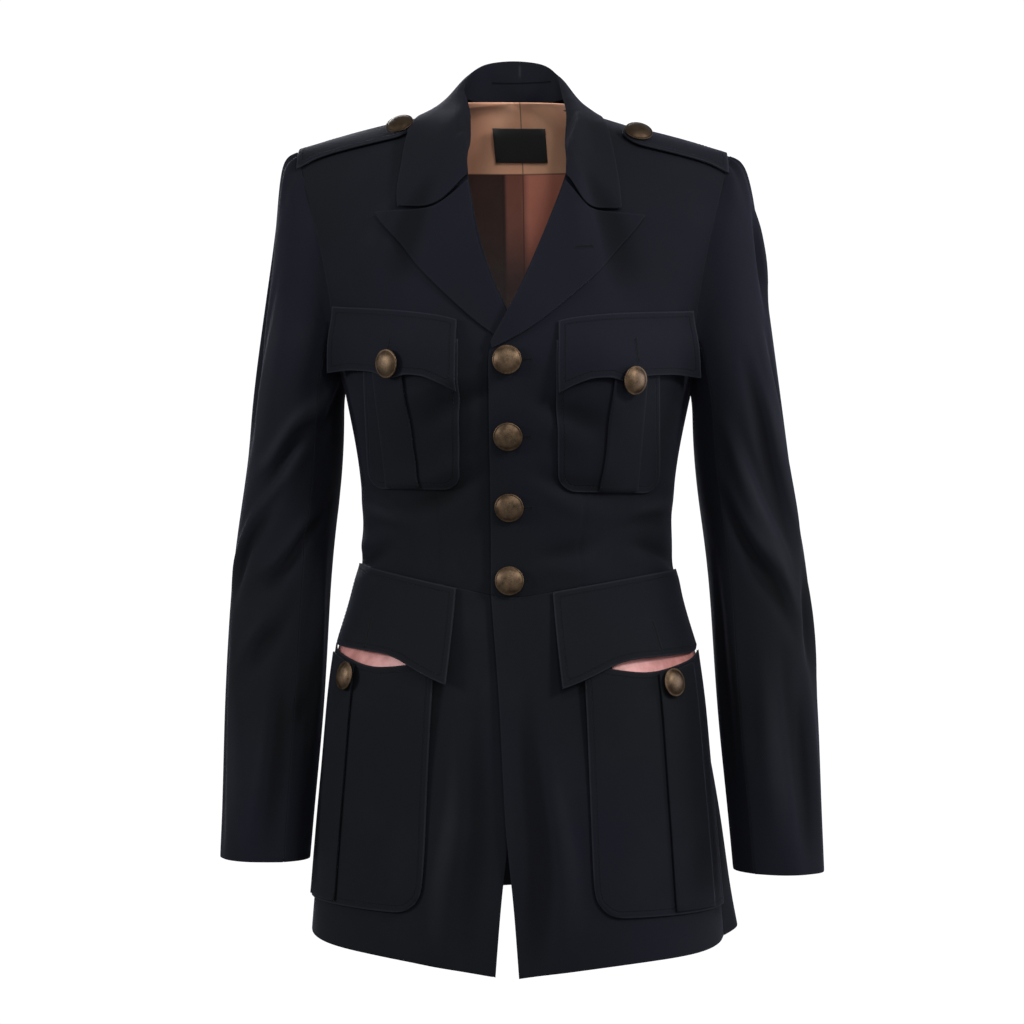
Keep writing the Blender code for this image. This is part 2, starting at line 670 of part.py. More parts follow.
def lapel_plan(along, across):
    """The lapel's outline in the front view: four borders, blended."""
    roll_z = LAPEL_ROLL_Z[0] + (LAPEL_ROLL_Z[1] - LAPEL_ROLL_Z[0]) * along
    roll = (curve(ROLL, "x", roll_z) + 0.0008, roll_z)
    edge = (curve(LAPEL_EDGE, "x", along), curve(LAPEL_EDGE, "z", along))
    top = [np.interp(across, [p.along for p in LAPEL_TOP], [getattr(p, c) for p in LAPEL_TOP]) for c in "xz"]
    corner = (float(curve(ROLL, "x", LAPEL_ROLL_Z[1])) + 0.0008, LAPEL_ROLL_Z[1])
    peak = (LAPEL_EDGE[-1].x, LAPEL_EDGE[-1].z)
    made = []
    for k in range(2):
        straight = corner[k] + (peak[k] - corner[k]) * across
        made.append(roll[k] + (edge[k] - roll[k]) * across + along**3 * (top[k] - straight))
    return made


def make_lapel(name, side, wool):
    along, across = grid(np.linspace(0.0, 1, 12), np.linspace(0, 1, 7))
    across = across**0.9
    x, z = lapel_plan(along, across)
    start = 0.0 if side == "left" else 0.35
    out = LAY + LAPEL_RISE * (1 - across) ** 2 * smooth(start, start + 0.3, along)
    return cloth(name, [handed(on_front(x, z, out, SIDES[side]), SIDES[side])], CLOTH, wool)


def collar_line(table, along):
    return stack(*(curve(table, c, along) for c in ("x", "y", "z")))


def collar_section(along, cloud):
    """The folded strip at one place: up the stand, over the roll line and down the leaf."""
    seam, roll, edge = (collar_line(t, along) for t in (COLLAR_SEAM, COLLAR_ROLL, COLLAR_EDGE))
    leaf = edge - roll
    up = np.cross(collar_line(COLLAR_ROLL, min(along + 0.01, 1)) - collar_line(COLLAR_ROLL, along - 0.01), leaf)
    up = up / np.linalg.norm(up)
    stand = roll - seam
    fold = 2 * CLOTH + 0.0012
    points = [
        over_body(seam, LIE, cloud),
        over_body(seam + 0.5 * stand, LIE, cloud),
        over_body(roll - 0.06 * stand, LIE, cloud),
        over_body(roll + up * fold * 0.45 - leaf * 0.013, LIE + fold * 0.5, cloud),
    ]
    for row in LEAF:
        notch = COLLAR_NOTCH * along**10 * row.notch * np.array([0.0, 0.0, -1.0])
        place = roll + row.share * leaf + up * (fold * row.fold + COLLAR_CROWN * row.crown) + notch
        points.append(over_body(place, LIE + CLOTH + fold * row.fold, cloud))
    return np.array(points)


def make_collar(name, wool):
    cloud = body_cloud()
    half = np.array([collar_section(a, cloud) for a in np.linspace(0, 1, 15) ** 0.9])
    right = half * np.array([-1.0, 1.0, 1.0])
    whole = np.concatenate([right[::-1], half[1:]])
    return cloth(name, [whole[::-1]], CLOTH, wool, even=False)


def make_chest_flap(name, side, wool):
    across, fall = grid(np.linspace(0, 1, 15), np.linspace(0, 1, 6))
    drop = curve(CHEST_FLAP, "drop", across)
    corner = -FLAP_SPREAD[0] * (across - 1) + FLAP_SPREAD[1] * across
    x = FLAP_X[0] + (FLAP_X[1] - FLAP_X[0]) * across + (corner - FLAP_SPREAD[0] * (1 - across) ** 2) * fall
    z = FLAP_Z[0] + (FLAP_Z[1] - FLAP_Z[0]) * across**0.7 - drop * fall
    out = LAY + 2 * LAY * smooth(0.05, 0.55, fall)
    beyond = np.maximum(x - FLAP_STRAIGHT, 0)
    points = on_front(x - beyond, z, out, SIDES[side]) + stack(beyond, FLAP_BACK * beyond, 0)
    points = points.transpose(1, 0, 2)[::-1]
    return cloth(name, [handed(points, SIDES[side])], CLOTH, wool)


def rounded(down, height, corner):
    """How far a pocket's side pulls in at a place down it, for a round lower corner."""
    left = np.clip(corner - height * (1 - down), 0, corner)
    return corner - np.sqrt(np.maximum(corner**2 - left**2, 0))


def pocket_rows(height, corner):
    straight = np.linspace(0, 1 - corner / height, 6)
    return np.concatenate([straight, 1 - corner / height * (1 - np.sin(np.radians([30, 60, 82])))])


def make_chest_pocket(name, side, wool):
    height = CHEST_POCKET_Z[0] - CHEST_POCKET_Z[1]
    down, across = grid(pocket_rows(height, CHEST_CORNER), np.linspace(0, 1, 10))
    pull = rounded(down, height, CHEST_CORNER)
    x = CHEST_POCKET_X[0] + pull + (CHEST_POCKET_X[1] - CHEST_POCKET_X[0] - 2 * pull) * across
    z = CHEST_POCKET_Z[0] - height * down
    points = on_front(x, z, LAY + SEAM, SIDES[side])[::-1]
    return cloth(name, [handed(points, SIDES[side])], CLOTH, wool)


def make_chest_pleat(name, side, wool):
    down, across = grid(np.linspace(0, 1, 8), np.linspace(-1, 1, 4))
    half = CHEST_PLEAT_HALF[0] + (CHEST_PLEAT_HALF[1] - CHEST_PLEAT_HALF[0]) * down
    x = CHEST_PLEAT_TOP[0] + (CHEST_PLEAT_FOOT[0] - CHEST_PLEAT_TOP[0]) * down + half * across
    z = CHEST_PLEAT_TOP[1] + (CHEST_PLEAT_FOOT[1] - CHEST_PLEAT_TOP[1]) * down
    points = on_front(x, z, 2 * LAY + SEAM, SIDES[side])[::-1]
    return cloth(name, [handed(points, SIDES[side])], CLOTH, wool)


def make_hip_flap(name, side, wool):
    across, fall = grid(np.linspace(0, 1, 13), np.linspace(0, 1, 5))
    top, foot, outer = HIP_FLAP_TURN[side]
    turn = top + (outer - top) * across + (foot - top) * (1 - across) ** 6 * fall
    z = skirt(turn, 0 * turn)[..., 2] - 0.001 - curve(HIP_FLAP, "drop", across) * fall
    out = LAY + (HIP_FLAP_OUT * (1 - 0.4 * across**2) - LAY) * fall**1.2
    points = on_skirt(turn, z, out).transpose(1, 0, 2)[::-1]
    return cloth(name, [handed(points, SIDES[side])], CLOTH, wool)


def hip_mouth(turn):
    share = (turn - HIP_POCKET_TURN[0]) / (HIP_POCKET_TURN[1] - HIP_POCKET_TURN[0])
    return curve(HIP_MOUTH, "z", share)


def hip_stand_off(down):
    """The bellows pocket stands off the skirt at its mouth and lies on it at its foot."""
    return LAY + (HIP_MOUTH_OUT - LAY) * (1 - smooth(0.0, 0.55, down))


def make_hip_pocket(name, side, wool):
    down, across = grid(pocket_rows(HIP_POCKET_HEIGHT, HIP_CORNER), np.linspace(0, 1, 12))
    pull = np.degrees(rounded(down, HIP_POCKET_HEIGHT, HIP_CORNER) / 0.150)
    turn = HIP_POCKET_TURN[0] + pull + (HIP_POCKET_TURN[1] - HIP_POCKET_TURN[0] - pull) * across
    mouth = hip_mouth(turn)
    z = mouth + (HIP_POCKET_FOOT - mouth) * down
    points = on_skirt(turn, z, hip_stand_off(down))[::-1]
    return cloth(name, [handed(points, SIDES[side])], CLOTH, wool)


def make_hip_pleat(name, side, wool):
    down, across = grid(np.linspace(0.012, 0.985, 9), np.linspace(0, 1, 5))
    turn = HIP_PLEAT_TURN[side][0] + (HIP_PLEAT_TURN[side][1] - HIP_PLEAT_TURN[side][0]) * across
    mouth = hip_mouth(turn)
    z = mouth + (HIP_POCKET_FOOT - mouth) * down
    points = on_skirt(turn, z, hip_stand_off(down) + LAY)[::-1]
    return cloth(name, [handed(points, SIDES[side])], CLOTH, wool)


def make_pocket_lining(name, side, satin):
    fall, across = grid(np.linspace(0, 1, 4), np.linspace(0, 1, 12))
    turn = 34 + (87 - 34) * across
    z = hip_mouth(turn) + 0.012 - 0.030 * fall
    below = hip_mouth(turn) - z
    out = hip_stand_off(below / HIP_POCKET_HEIGHT) - LAY - HIP_LINING_SINK * smooth(0, 0.006, -below)
    points = on_skirt(turn, z, out)[::-1]
    return cloth(name, [handed(points, SIDES[side])], THIN, satin)


def shoulder_point(x, away, out):
    """A point at x, a given way down from the shoulder seam over the front (positive) or the back."""
    made = np.zeros((*x.shape, 3))
    steps = np.linspace(2.0, 1.70, 60)
    for index in np.ndindex(x.shape):
        for body, sign in ((front_body, 1), (back_body, -1)):
            if away[index] * sign >= 0:
                path = body(steps, np.full_like(steps, x[index]))
                length = np.concatenate([[0], np.cumsum(np.linalg.norm(np.diff(path, axis=0), axis=1))])
                level = np.interp(abs(away[index]), length, steps)
        place = np.array(min(level, 1.9995)), np.array(x[index])
        if away[index] >= 0:
            made[index] = moved(lambda a, b: front_body(b, a), place[1], place[0], out, 0.0005, 0.0004)
        else:
            made[index] = moved(back_body, place[0], place[1], out, 0.0004, 0.0005)
    return made


def make_epaulette(name, side, wool):
    along, across = grid(np.linspace(0, 1, 11) ** 0.85, np.linspace(-1, 1, 7))
    half = curve(EPAULETTE, "half", along)
    x = EPAULETTE_X[side][0] + (EPAULETTE_X[side][1] - EPAULETTE_X[side][0]) * along
    ahead = EPAULETTE_FORWARD[0] + (EPAULETTE_FORWARD[1] - EPAULETTE_FORWARD[0]) * along
    points = shoulder_point(x, ahead + half * across, LAY + 0.0006)[::-1]
    return cloth(name, [handed(points, SIDES[side])], CLOTH, wool)


def make_label(name, cotton):
    z, x = grid(LABEL_Z, np.linspace(*LABEL_X, 5))
    points = on_back(level_at(back_body, x, z), x, -(CLOTH + 2 * THIN + 4 * LIE))
    return cloth(name, [points], THIN, cotton)


def make_buttons(brass):
    for number, z in enumerate(FRONT_BUTTONS, start=1):
        seat, way = seat_and_normal(lambda out: on_front(0.0, z, out, 1), 2 * SEAM)
        button(f"button_front_{number}", seat, way, brass)
    for name, sign in SIDES.items():
        flip = np.array([sign, 1.0, 1.0])
        x, z = CHEST_BUTTON[name]
        seat, way = seat_and_normal(lambda out: on_front(x, z, out, 1), 3 * LAY + SEAM)
        button(f"button_chest_{name}", seat * flip, way * flip, brass)
        turn, z = HIP_BUTTON[name]
        seat, way = seat_and_normal(lambda out: on_skirt(turn, z, out), HIP_MOUTH_OUT + LAY + SEAM)
        button(f"button_hip_{name}", seat * flip, way * flip, brass)
        x = np.array(EPAULETTE_X[name][1] + EPAULETTE_BUTTON)
        away = np.array(EPAULETTE_FORWARD[1])
        rise = LAY + 0.0013 + BUTTON_R * math.sin(EPAULETTE_TILT) - BUTTON[2].height
        seat, way = seat_and_normal(lambda out: shoulder_point(x, away, out), rise)
        ahead = np.array([0.0, -1.0, 0.0])
        ahead = ahead - (ahead @ way) * way
        way = way * math.cos(EPAULETTE_TILT) + ahead / np.linalg.norm(ahead) * math.sin(EPAULETTE_TILT)
        button(f"button_shoulder_{name}", seat * flip, way * flip, brass)


def main():
    for thing in list(bpy.data.objects):
        bpy.data.objects.remove(thing, do_unlink=True)
    wool = material("navy_wool_twill", (0.011, 0.012, 0.018), 0.85)
    satin = material("salmon_satin", (0.50, 0.26, 0.20), 0.45)
    pink = material("pink_pocketing", (0.62, 0.33, 0.31), 0.6)
    cotton = material("black_label", (0.01, 0.01, 0.012), 0.7)
    brass = material("antique_brass", (0.22, 0.16, 0.10), 0.4, 0.9)
    for name, sign in SIDES.items():
        make_front(f"front_{name}", sign, wool)
        make_skirt_front(f"skirt_front_{name}", sign, wool)
        make_sleeve(f"top_sleeve_{name}", "top", name, wool)
        make_sleeve(f"under_sleeve_{name}", "under", name, wool)
        cloth(f"back_{name}", [back_grid(0.0, 2.0, 0.0, sign)], CLOTH, wool)
        make_skirt_back(f"skirt_back_{name}", name, wool)
        make_lapel(f"lapel_{name}", name, wool)
        make_chest_pocket(f"chest_pocket_{name}", name, wool)
        make_chest_pleat(f"chest_pleat_{name}", name, wool)
        make_chest_flap(f"chest_flap_{name}", name, wool)
        make_hip_pocket(f"hip_pocket_{name}", name, wool)
        make_hip_pleat(f"hip_pleat_{name}", name, wool)
        make_hip_flap(f"hip_flap_{name}", name, wool)
        make_pocket_lining(f"hip_lining_{name}", name, pink)
        make_epaulette(f"epaulette_{name}", name, wool)
    lining = [back_grid(0.02, 1.985, -(CLOTH + 2 * SEAM), sign, seam=False) for sign in SIDES.values()]
    cloth("back_lining", lining, THIN, satin)
    make_collar("collar", wool)
    make_label("label", cotton)
    make_buttons(brass)


main()
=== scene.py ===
"""The looks of a fitted navy military jacket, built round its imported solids.

Every cloth panel is a finer copy of its solid, with the folds of the worn jacket pressed into it. The
buttons, buttonholes, stitching and linings are made here. Metres; +Z up, the front faces -Y and the
wearer's left is +X.
"""

import math
from collections import namedtuple

import bmesh
import bpy
import numpy as np
from mathutils import Matrix, Vector
from mathutils.bvhtree import BVHTree
from mathutils.kdtree import KDTree


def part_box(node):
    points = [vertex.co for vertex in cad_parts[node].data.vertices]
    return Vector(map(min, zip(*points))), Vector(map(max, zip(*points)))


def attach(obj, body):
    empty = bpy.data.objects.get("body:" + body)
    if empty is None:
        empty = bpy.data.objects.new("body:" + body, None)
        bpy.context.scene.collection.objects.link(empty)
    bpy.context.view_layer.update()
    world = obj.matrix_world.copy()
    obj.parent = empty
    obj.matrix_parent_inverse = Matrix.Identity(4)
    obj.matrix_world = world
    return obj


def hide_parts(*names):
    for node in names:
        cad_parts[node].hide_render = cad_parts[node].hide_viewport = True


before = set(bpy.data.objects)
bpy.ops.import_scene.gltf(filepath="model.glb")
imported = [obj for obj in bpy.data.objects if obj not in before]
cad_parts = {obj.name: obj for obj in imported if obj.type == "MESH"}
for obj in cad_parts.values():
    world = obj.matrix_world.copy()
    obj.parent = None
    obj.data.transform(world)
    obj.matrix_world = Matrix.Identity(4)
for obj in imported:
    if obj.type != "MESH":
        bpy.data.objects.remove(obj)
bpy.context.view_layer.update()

SIDES = {"left": 1, "right": -1}
MM = 0.001

# ---------------------------------------------------------------------------------------------- the folds
# A fold runs on a panel from one place to another: the turn round the body in degrees (0 is the centre
# front, positive to the wearer's left) and the height. It stands out, or sinks in where out is negative,
# and width is the half width of its ridge.
Fold = namedtuple("Fold", "turn z turn_end z_end width out")
BODY_FOLDS = (
    # the chest, pulled towards the top button
    Fold(-8, -0.232, -34, -0.262, 0.012, -1.6 * MM),
    Fold(10, -0.240, 36, -0.268, 0.012, -1.6 * MM),
    Fold(12, -0.300, 48, -0.322, 0.011, -1.5 * MM),
    Fold(-10, -0.304, -50, -0.330, 0.012, -1.5 * MM),
    # the waist, soft ridges over the nipped-in sides
    Fold(52, -0.338, 86, -0.318, 0.010, 1.6 * MM),
    Fold(-50, -0.345, -84, -0.322, 0.010, 1.5 * MM),
    Fold(56, -0.362, 88, -0.372, 0.010, -1.6 * MM),
    Fold(-58, -0.366, -88, -0.376, 0.010, -1.6 * MM),
    Fold(14, -0.372, 44, -0.352, 0.012, -1.3 * MM),
    # below the shoulders, the hollow beside each lapel
    Fold(38, -0.050, 44, -0.150, 0.020, -2.0 * MM),
    Fold(-38, -0.050, -46, -0.150, 0.020, -2.0 * MM),
    # the skirt's front, hanging from the hips
    Fold(8, -0.470, 12, -0.700, 0.018, -1.8 * MM),
    Fold(18, -0.520, 22, -0.705, 0.016, 1.6 * MM),
    Fold(-12, -0.480, -15, -0.700, 0.018, -1.6 * MM),
    Fold(-20, -0.540, -23, -0.700, 0.016, 1.2 * MM),
    # the back: the waist's cross folds, the blades and the skirt's flutes
    Fold(150, -0.330, 176, -0.342, 0.012, -1.8 * MM),
    Fold(-150, -0.336, -178, -0.346, 0.012, -1.6 * MM),
    Fold(128, -0.352, 160, -0.370, 0.012, 1.6 * MM),
    Fold(-126, -0.350, -158, -0.366, 0.012, 1.6 * MM),
    Fold(120, -0.120, 132, -0.230, 0.022, -2.2 * MM),
    Fold(-120, -0.120, -131, -0.230, 0.022, -2.2 * MM),
    Fold(150, -0.420, 145, -0.660, 0.024, 2.6 * MM),
    Fold(-150, -0.420, -146, -0.660, 0.024, 2.6 * MM),
    Fold(166, -0.470, 164, -0.665, 0.020, -2.2 * MM),
    Fold(-165, -0.470, -164, -0.665, 0.020, -2.2 * MM),
    Fold(116, -0.430, 112, -0.675, 0.022, -2.4 * MM),
    Fold(-116, -0.430, -112, -0.675, 0.022, -2.4 * MM),
)
# Round a sleeve the turn is 0 on the outer arm, 90 at the front and 180 on the inner arm.
SLEEVE_FOLDS = {
    "right": (
        Fold(60, -0.300, 140, -0.215, 0.013, 2.6 * MM),
        Fold(95, -0.300, 40, -0.395, 0.011, -3.6 * MM),
        Fold(115, -0.262, 60, -0.360, 0.011, 2.8 * MM),
        Fold(140, -0.330, 80, -0.400, 0.010, -2.4 * MM),
        Fold(70, -0.150, 55, -0.280, 0.016, 2.2 * MM),
        Fold(20, -0.110, 25, -0.270, 0.014, -2.0 * MM),
        Fold(105, -0.420, 70, -0.470, 0.014, -2.0 * MM),
        Fold(40, -0.450, 60, -0.620, 0.018, 1.8 * MM),
        Fold(110, -0.470, 104, -0.625, 0.016, -1.8 * MM),
        Fold(150, -0.360, 150, -0.560, 0.016, 1.6 * MM),
    ),
    "left": (
        Fold(60, -0.185, 28, -0.345, 0.013, 2.8 * MM),
        Fold(80, -0.215, 50, -0.350, 0.012, -2.8 * MM),
        Fold(100, -0.270, 60, -0.385, 0.012, 2.4 * MM),
        Fold(112, -0.325, 60, -0.425, 0.011, -3.0 * MM),
        Fold(30, -0.390, 24, -0.470, 0.012, -2.4 * MM),
        Fold(20, -0.070, 22, -0.150, 0.010, 1.8 * MM),
        Fold(38, -0.080, 40, -0.160, 0.010, -1.8 * MM),
        Fold(88, -0.440, 75, -0.620, 0.018, 1.8 * MM),
        Fold(50, -0.480, 45, -0.620, 0.016, -2.0 * MM),
        Fold(140, -0.380, 140, -0.560, 0.016, -1.6 * MM),
    ),
}
# The hidden half of both sleeves: elbow wrinkles and long soft drags behind.
SLEEVE_BACK_FOLDS = (
    Fold(-60, -0.290, -130, -0.270, 0.012, -2.8 * MM),
    Fold(-50, -0.335, -140, -0.330, 0.013, 2.6 * MM),
    Fold(-60, -0.370, -130, -0.385, 0.011, -2.6 * MM),
    Fold(-80, -0.120, -95, -0.250, 0.018, 2.4 * MM),
    Fold(-110, -0.420, -90, -0.620, 0.018, 1.8 * MM),
    Fold(-50, -0.430, -55, -0.620, 0.018, -1.8 * MM),
)
BODY_RADIUS, SLEEVE_RADIUS = 0.140, 0.046  # the rounds on which the turns are measured
BODY_DEPTH, SLEEVE_DEPTH = 2.0, 2.1  # of every fold, against its own out
BODY_SHARPER, SLEEVE_SHARPER = 0.85, 0.62  # of every fold's width
STRAY_TURN, STRAY_Z = 1.3, 3.0 * MM  # how far a fold's line wanders, in degrees and in height
HOLLOW_DEPTH, HOLLOW_AWAY, HOLLOW_WIDTH = 0.55, 1.5, 0.9  # beside a fold: of its out, and in its widths
WHOLE_FOLD = 2.4 * MM  # the out that counts as one whole crest in the wool
EASE, EASE_LUMPS, EASE_Z = 1.2 * MM, 11, (-0.095, -0.045)  # the sleeve head's small lumps, and where
HEAD_Z = (-0.100, -0.050)  # where a sleeve's folds die away into its head
# Seams that are cut in one panel and show as a pressed groove: at a turn, between two heights.
Groove = namedtuple("Groove", "turn z turn_end z_end")
SEAMS = (
    Groove(139, -0.130, 146, -0.690),
    Groove(-139, -0.130, -146, -0.690),
    Groove(34, -0.316, 33, -0.398),
    Groove(-34, -0.316, -33, -0.398),
)
SEAM_WIDTH, SEAM_DEPTH = 1.6 * MM, 0.9 * MM
SEAMED = ("back_left", "back_right", "front", "skirt_back")  # how the names of the panels with seams start
CHEST_Z, SHOULDER_Z = -0.100, -0.060  # over these the ways out of the cloth, and of its faces, lean upwards


def smooth(low, high, value):
    """0 below low, 1 above high and an S between."""
    t = np.clip((value - low) / (high - low), 0, 1)
    return t * t * (3 - 2 * t)


def from_spine(points, top):
    """The way to each point from a line up the body's middle that ends at a height."""
    spine = np.stack([0 * points[:, 0], 0 * points[:, 0], np.minimum(points[:, 2], top)], 1)
    return points - spine


def unit(ways):
    return ways / np.maximum(np.linalg.norm(ways, axis=1, keepdims=True), 1e-6)


def body_turn(points):
    """The turn round the body, in degrees, and the way out from it."""
    turn = np.degrees(np.arctan2(points[:, 0], -points[:, 1]))
    return turn, unit(from_spine(points, CHEST_Z))


# The middle line of the wearer's left arm, from the cuff up; the right one is its mirror.
Arm = namedtuple("Arm", "z x y")
ARM = (
    Arm(-0.640, 0.2160, -0.022),
    Arm(-0.573, 0.2130, -0.014),
    Arm(-0.510, 0.2095, -0.007),
    Arm(-0.446, 0.2060, -0.001),
    Arm(-0.370, 0.2005, 0.005),
    Arm(-0.293, 0.1893, 0.004),
    Arm(-0.245, 0.1860, 0.003),
    Arm(-0.150, 0.1800, 0.003),
    Arm(-0.030, 0.1700, 0.006),
)


def sleeve_turn(points, sign):
    """The turn round a sleeve, 0 outwards and 90 forwards, and the way out from its middle line."""
    arm_z, arm_x, arm_y = zip(*ARM)
    x = points[:, 0] * sign - np.interp(points[:, 2], arm_z, arm_x)
    y = points[:, 1] - np.interp(points[:, 2], arm_z, arm_y)
    up = np.maximum(points[:, 2] - CHEST_Z, 0)
    return np.degrees(np.arctan2(-y, x)), unit(np.stack([x * sign, y, up], 1))


def along_line(turn, z, line, radius):
    """Each point's signed distance from a line on the surface, its plain one, and how far along it is."""
    start = np.array([line.turn * math.pi / 180 * radius, line.z])
    way = np.array([line.turn_end * math.pi / 180 * radius, line.z_end]) - start
    length = np.linalg.norm(way)
    place = np.stack([turn * math.pi / 180 * radius, z], 1) - start
    share = np.clip(place @ way / length**2, 0, 1)
    side = (place[:, 0] * way[1] - place[:, 1] * way[0]) / length
    return side, np.linalg.norm(place - share[:, None] * way, axis=1), share


def pressed(turn, z, folds, radius, sharper):
    """How far the folds move the cloth out: a ridge with a hollow on one side, dying away at both ends."""
    wavy_turn = turn + STRAY_TURN * np.sin(z * 34 + turn * 0.05)
    wavy_z = z + STRAY_Z * np.sin(turn * 0.11 + z * 23)
    out = np.zeros(len(z))
    for fold in folds:
        side, away, share = along_line(wavy_turn, wavy_z, fold, radius)
        fade = np.sin(math.pi * (0.06 + 0.88 * share)) ** 0.8
        beyond = np.exp(-(np.maximum(away**2 - side**2, 0) / fold.width**2))
        width = fold.width * (0.75 + 0.5 * share) * sharper
        ridge = np.exp(-((side / width) ** 2))
        hollow = np.exp(-(((side - HOLLOW_AWAY * width) / (HOLLOW_WIDTH * width)) ** 2))
        out += fold.out * fade * beyond * (ridge - HOLLOW_DEPTH * hollow)
    return out


def body_field(points):
    """How each point of the body moves, and how far it stands out or sinks in, in parts of a whole fold."""
    turn, way = body_turn(points)
    out = pressed(turn, points[:, 2], BODY_FOLDS, BODY_RADIUS, BODY_SHARPER)
    return way * (out * BODY_DEPTH)[:, None], out / WHOLE_FOLD


def sleeve_field(points, side):
    """The same for a point of a sleeve, with the small lumps of ease under the seam of its head."""
    turn, way = sleeve_turn(points, SIDES[side])
    folds = SLEEVE_FOLDS[side] + SLEEVE_BACK_FOLDS
    out = pressed(turn, points[:, 2], folds, SLEEVE_RADIUS, SLEEVE_SHARPER)
    ease = EASE * np.sin(np.radians(turn) * EASE_LUMPS) * smooth(*EASE_Z, points[:, 2])
    out *= 1 - smooth(*HEAD_Z, points[:, 2])
    return way * (out * SLEEVE_DEPTH + ease)[:, None], (out + 0.5 * ease) / WHOLE_FOLD


# ------------------------------------------------------------------------------------------- shader maths
class Value:
    """A number socket that Python's operators can work on; each operation adds a Math node."""

    def __init__(self, tree, socket):
        self.tree, self.socket = tree, socket

    def math(self, operation, *others):
        made = self.tree.nodes.new("ShaderNodeMath")
        made.operation = operation
        for slot, value in zip(made.inputs, (self, *others)):
            if isinstance(value, Value):
                self.tree.links.new(value.socket, slot)
            else:
                slot.default_value = value
        return Value(self.tree, made.outputs[0])

    def flipped(self, operation, other):
        """The operation with the plain number first."""
        made = self.tree.nodes.new("ShaderNodeMath")
        made.operation = operation
        made.inputs[0].default_value = other
        self.tree.links.new(self.socket, made.inputs[1])
        return Value(self.tree, made.outputs[0])

    def __add__(self, other):
        return self.math("ADD", other)

    def __sub__(self, other):
        return self.math("SUBTRACT", other)

    def __mul__(self, other):
        return self.math("MULTIPLY", other)

    def __truediv__(self, other):
        return self.math("DIVIDE", other)

    def __rsub__(self, other):
        return self.flipped("SUBTRACT", other)

    __radd__, __rmul__ = __add__, __mul__

    def power(self, exponent):
        return self.math("POWER", exponent)

    def size(self):
        return self.math("ABSOLUTE")

    def wave(self):
        """0 to 1 and back, once each time the value grows by 1."""
        return (self * (2 * math.pi)).math("SINE") * 0.5 + 0.5

    def ramp(self, low, high):
        """0 below low, 1 above high and an S between."""
        made = self.tree.nodes.new("ShaderNodeMapRange")
        made.interpolation_type = "SMOOTHSTEP"
        self.tree.links.new(self.socket, made.inputs["Value"])
        made.inputs["From Min"].default_value, made.inputs["From Max"].default_value = low, high
        return Value(self.tree, made.outputs["Result"])


class Finish:
    """A material with its Principled shader, and short ways to add nodes to it."""

    def __init__(self, name, **constants):
        self.material = bpy.data.materials.new(name)
        self.material.use_nodes = True
        self.tree = self.material.node_tree
        self.shader = self.tree.nodes["Principled BSDF"]
        for socket, value in constants.items():
            self.shader.inputs[socket.replace("_", " ")].default_value = value

    def node(self, kind, settings=(), **sockets):
        made = self.tree.nodes.new(kind)
        for setting, value in dict(settings).items():
            setattr(made, setting, value)
        for socket, value in sockets.items():
            self.put(made.inputs[socket.replace("_", " ")], value)
        return made

    def put(self, socket, value):
        if isinstance(value, Value):
            value = value.socket
        if isinstance(value, bpy.types.NodeSocket):
            self.tree.links.new(value, socket)
        else:
            socket.default_value = value

    def value(self, socket):
        return Value(self.tree, socket)

    def flat(self):
        """The piece's own flat coordinates, in metres of cloth."""
        uv = self.node("ShaderNodeUVMap", {"uv_map": "cloth"}).outputs["UV"]
        parts = self.node("ShaderNodeSeparateXYZ", Vector=uv)
        return uv, self.value(parts.outputs["X"]), self.value(parts.outputs["Y"])

    def place(self):
        """The object's own coordinates."""
        at = self.node("ShaderNodeTexCoord").outputs["Object"]
        parts = self.node("ShaderNodeSeparateXYZ", Vector=at)
        return at, *(self.value(parts.outputs[axis]) for axis in "XYZ")

    def noise(self, at, scale, detail=2.0, roughness=0.5):
        made = self.node("ShaderNodeTexNoise", Vector=at, Scale=scale, Detail=detail, Roughness=roughness)
        return self.value(made.outputs["Fac"])

    def attribute(self, name):
        return self.value(self.node("ShaderNodeAttribute", {"attribute_name": name}).outputs["Fac"])

    def mix(self, share, first, second):
        made = self.node("ShaderNodeMix", {"data_type": "RGBA"})
        self.put(made.inputs["Factor"], share)
        for socket, colour in ((made.inputs[6], first), (made.inputs[7], second)):
            self.put(socket, (*colour, 1.0) if isinstance(colour, tuple) else colour)
        return made.outputs[2]

    def bump(self, height, distance, strength=1.0, under=None):
        made = self.node("ShaderNodeBump", Height=height, Distance=distance, Strength=strength)
        if under is not None:
            self.put(made.inputs["Normal"], under)
        return made.outputs["Normal"]

    def set(self, **sockets):
        for socket, value in sockets.items():
            self.put(self.shader.inputs[socket.replace("_", " ")], value)
        return self.material


TWILL = 1.1 * MM  # from one twill line to the next
# The darkest navy is painted shade, for the folds' hollows and the grooves of stitches and seams. The
# lightest is painted highlight on the folds' crests and the stand's crease, and wear with painted sheen
# along the edges.
NAVY, NAVY_BLUE, NAVY_PAINTED_SHADE = (0.0047, 0.0054, 0.0070), (0.0059, 0.0064, 0.0118), (0.0016, 0.0018, 0.0024)
NAVY_WORN, NAVY_HIGHLIGHT_AND_WEAR = (0.0105, 0.0114, 0.0150), (0.0210, 0.0225, 0.0290)
NAVY_SHEEN = (0.52, 0.55, 0.84, 1.0)
CREST_HIGHLIGHT = 0.62  # how far a fold's crest is painted lighter, as a highlight
SEWN_EDGE_WEAR_AND_SHEEN, PLAIN_EDGE_WEAR_AND_SHEEN = 0.9, 0.2  # how far the edges are lightened by worn nap and painted sheen, at topstitched edges and others
EDGE_WEAR_AND_SHEEN = (0.4 * MM, 1.8 * MM)  # from an edge: fully lightened by wear and painted sheen, and not at all
TOPSTITCH = 5 * MM  # how far the row of stitches lies in from the edge
STAND_SEAM_Z, STAND_HALF = 0.0405, 0.027  # the seam across the collar's stand, and how far it reaches
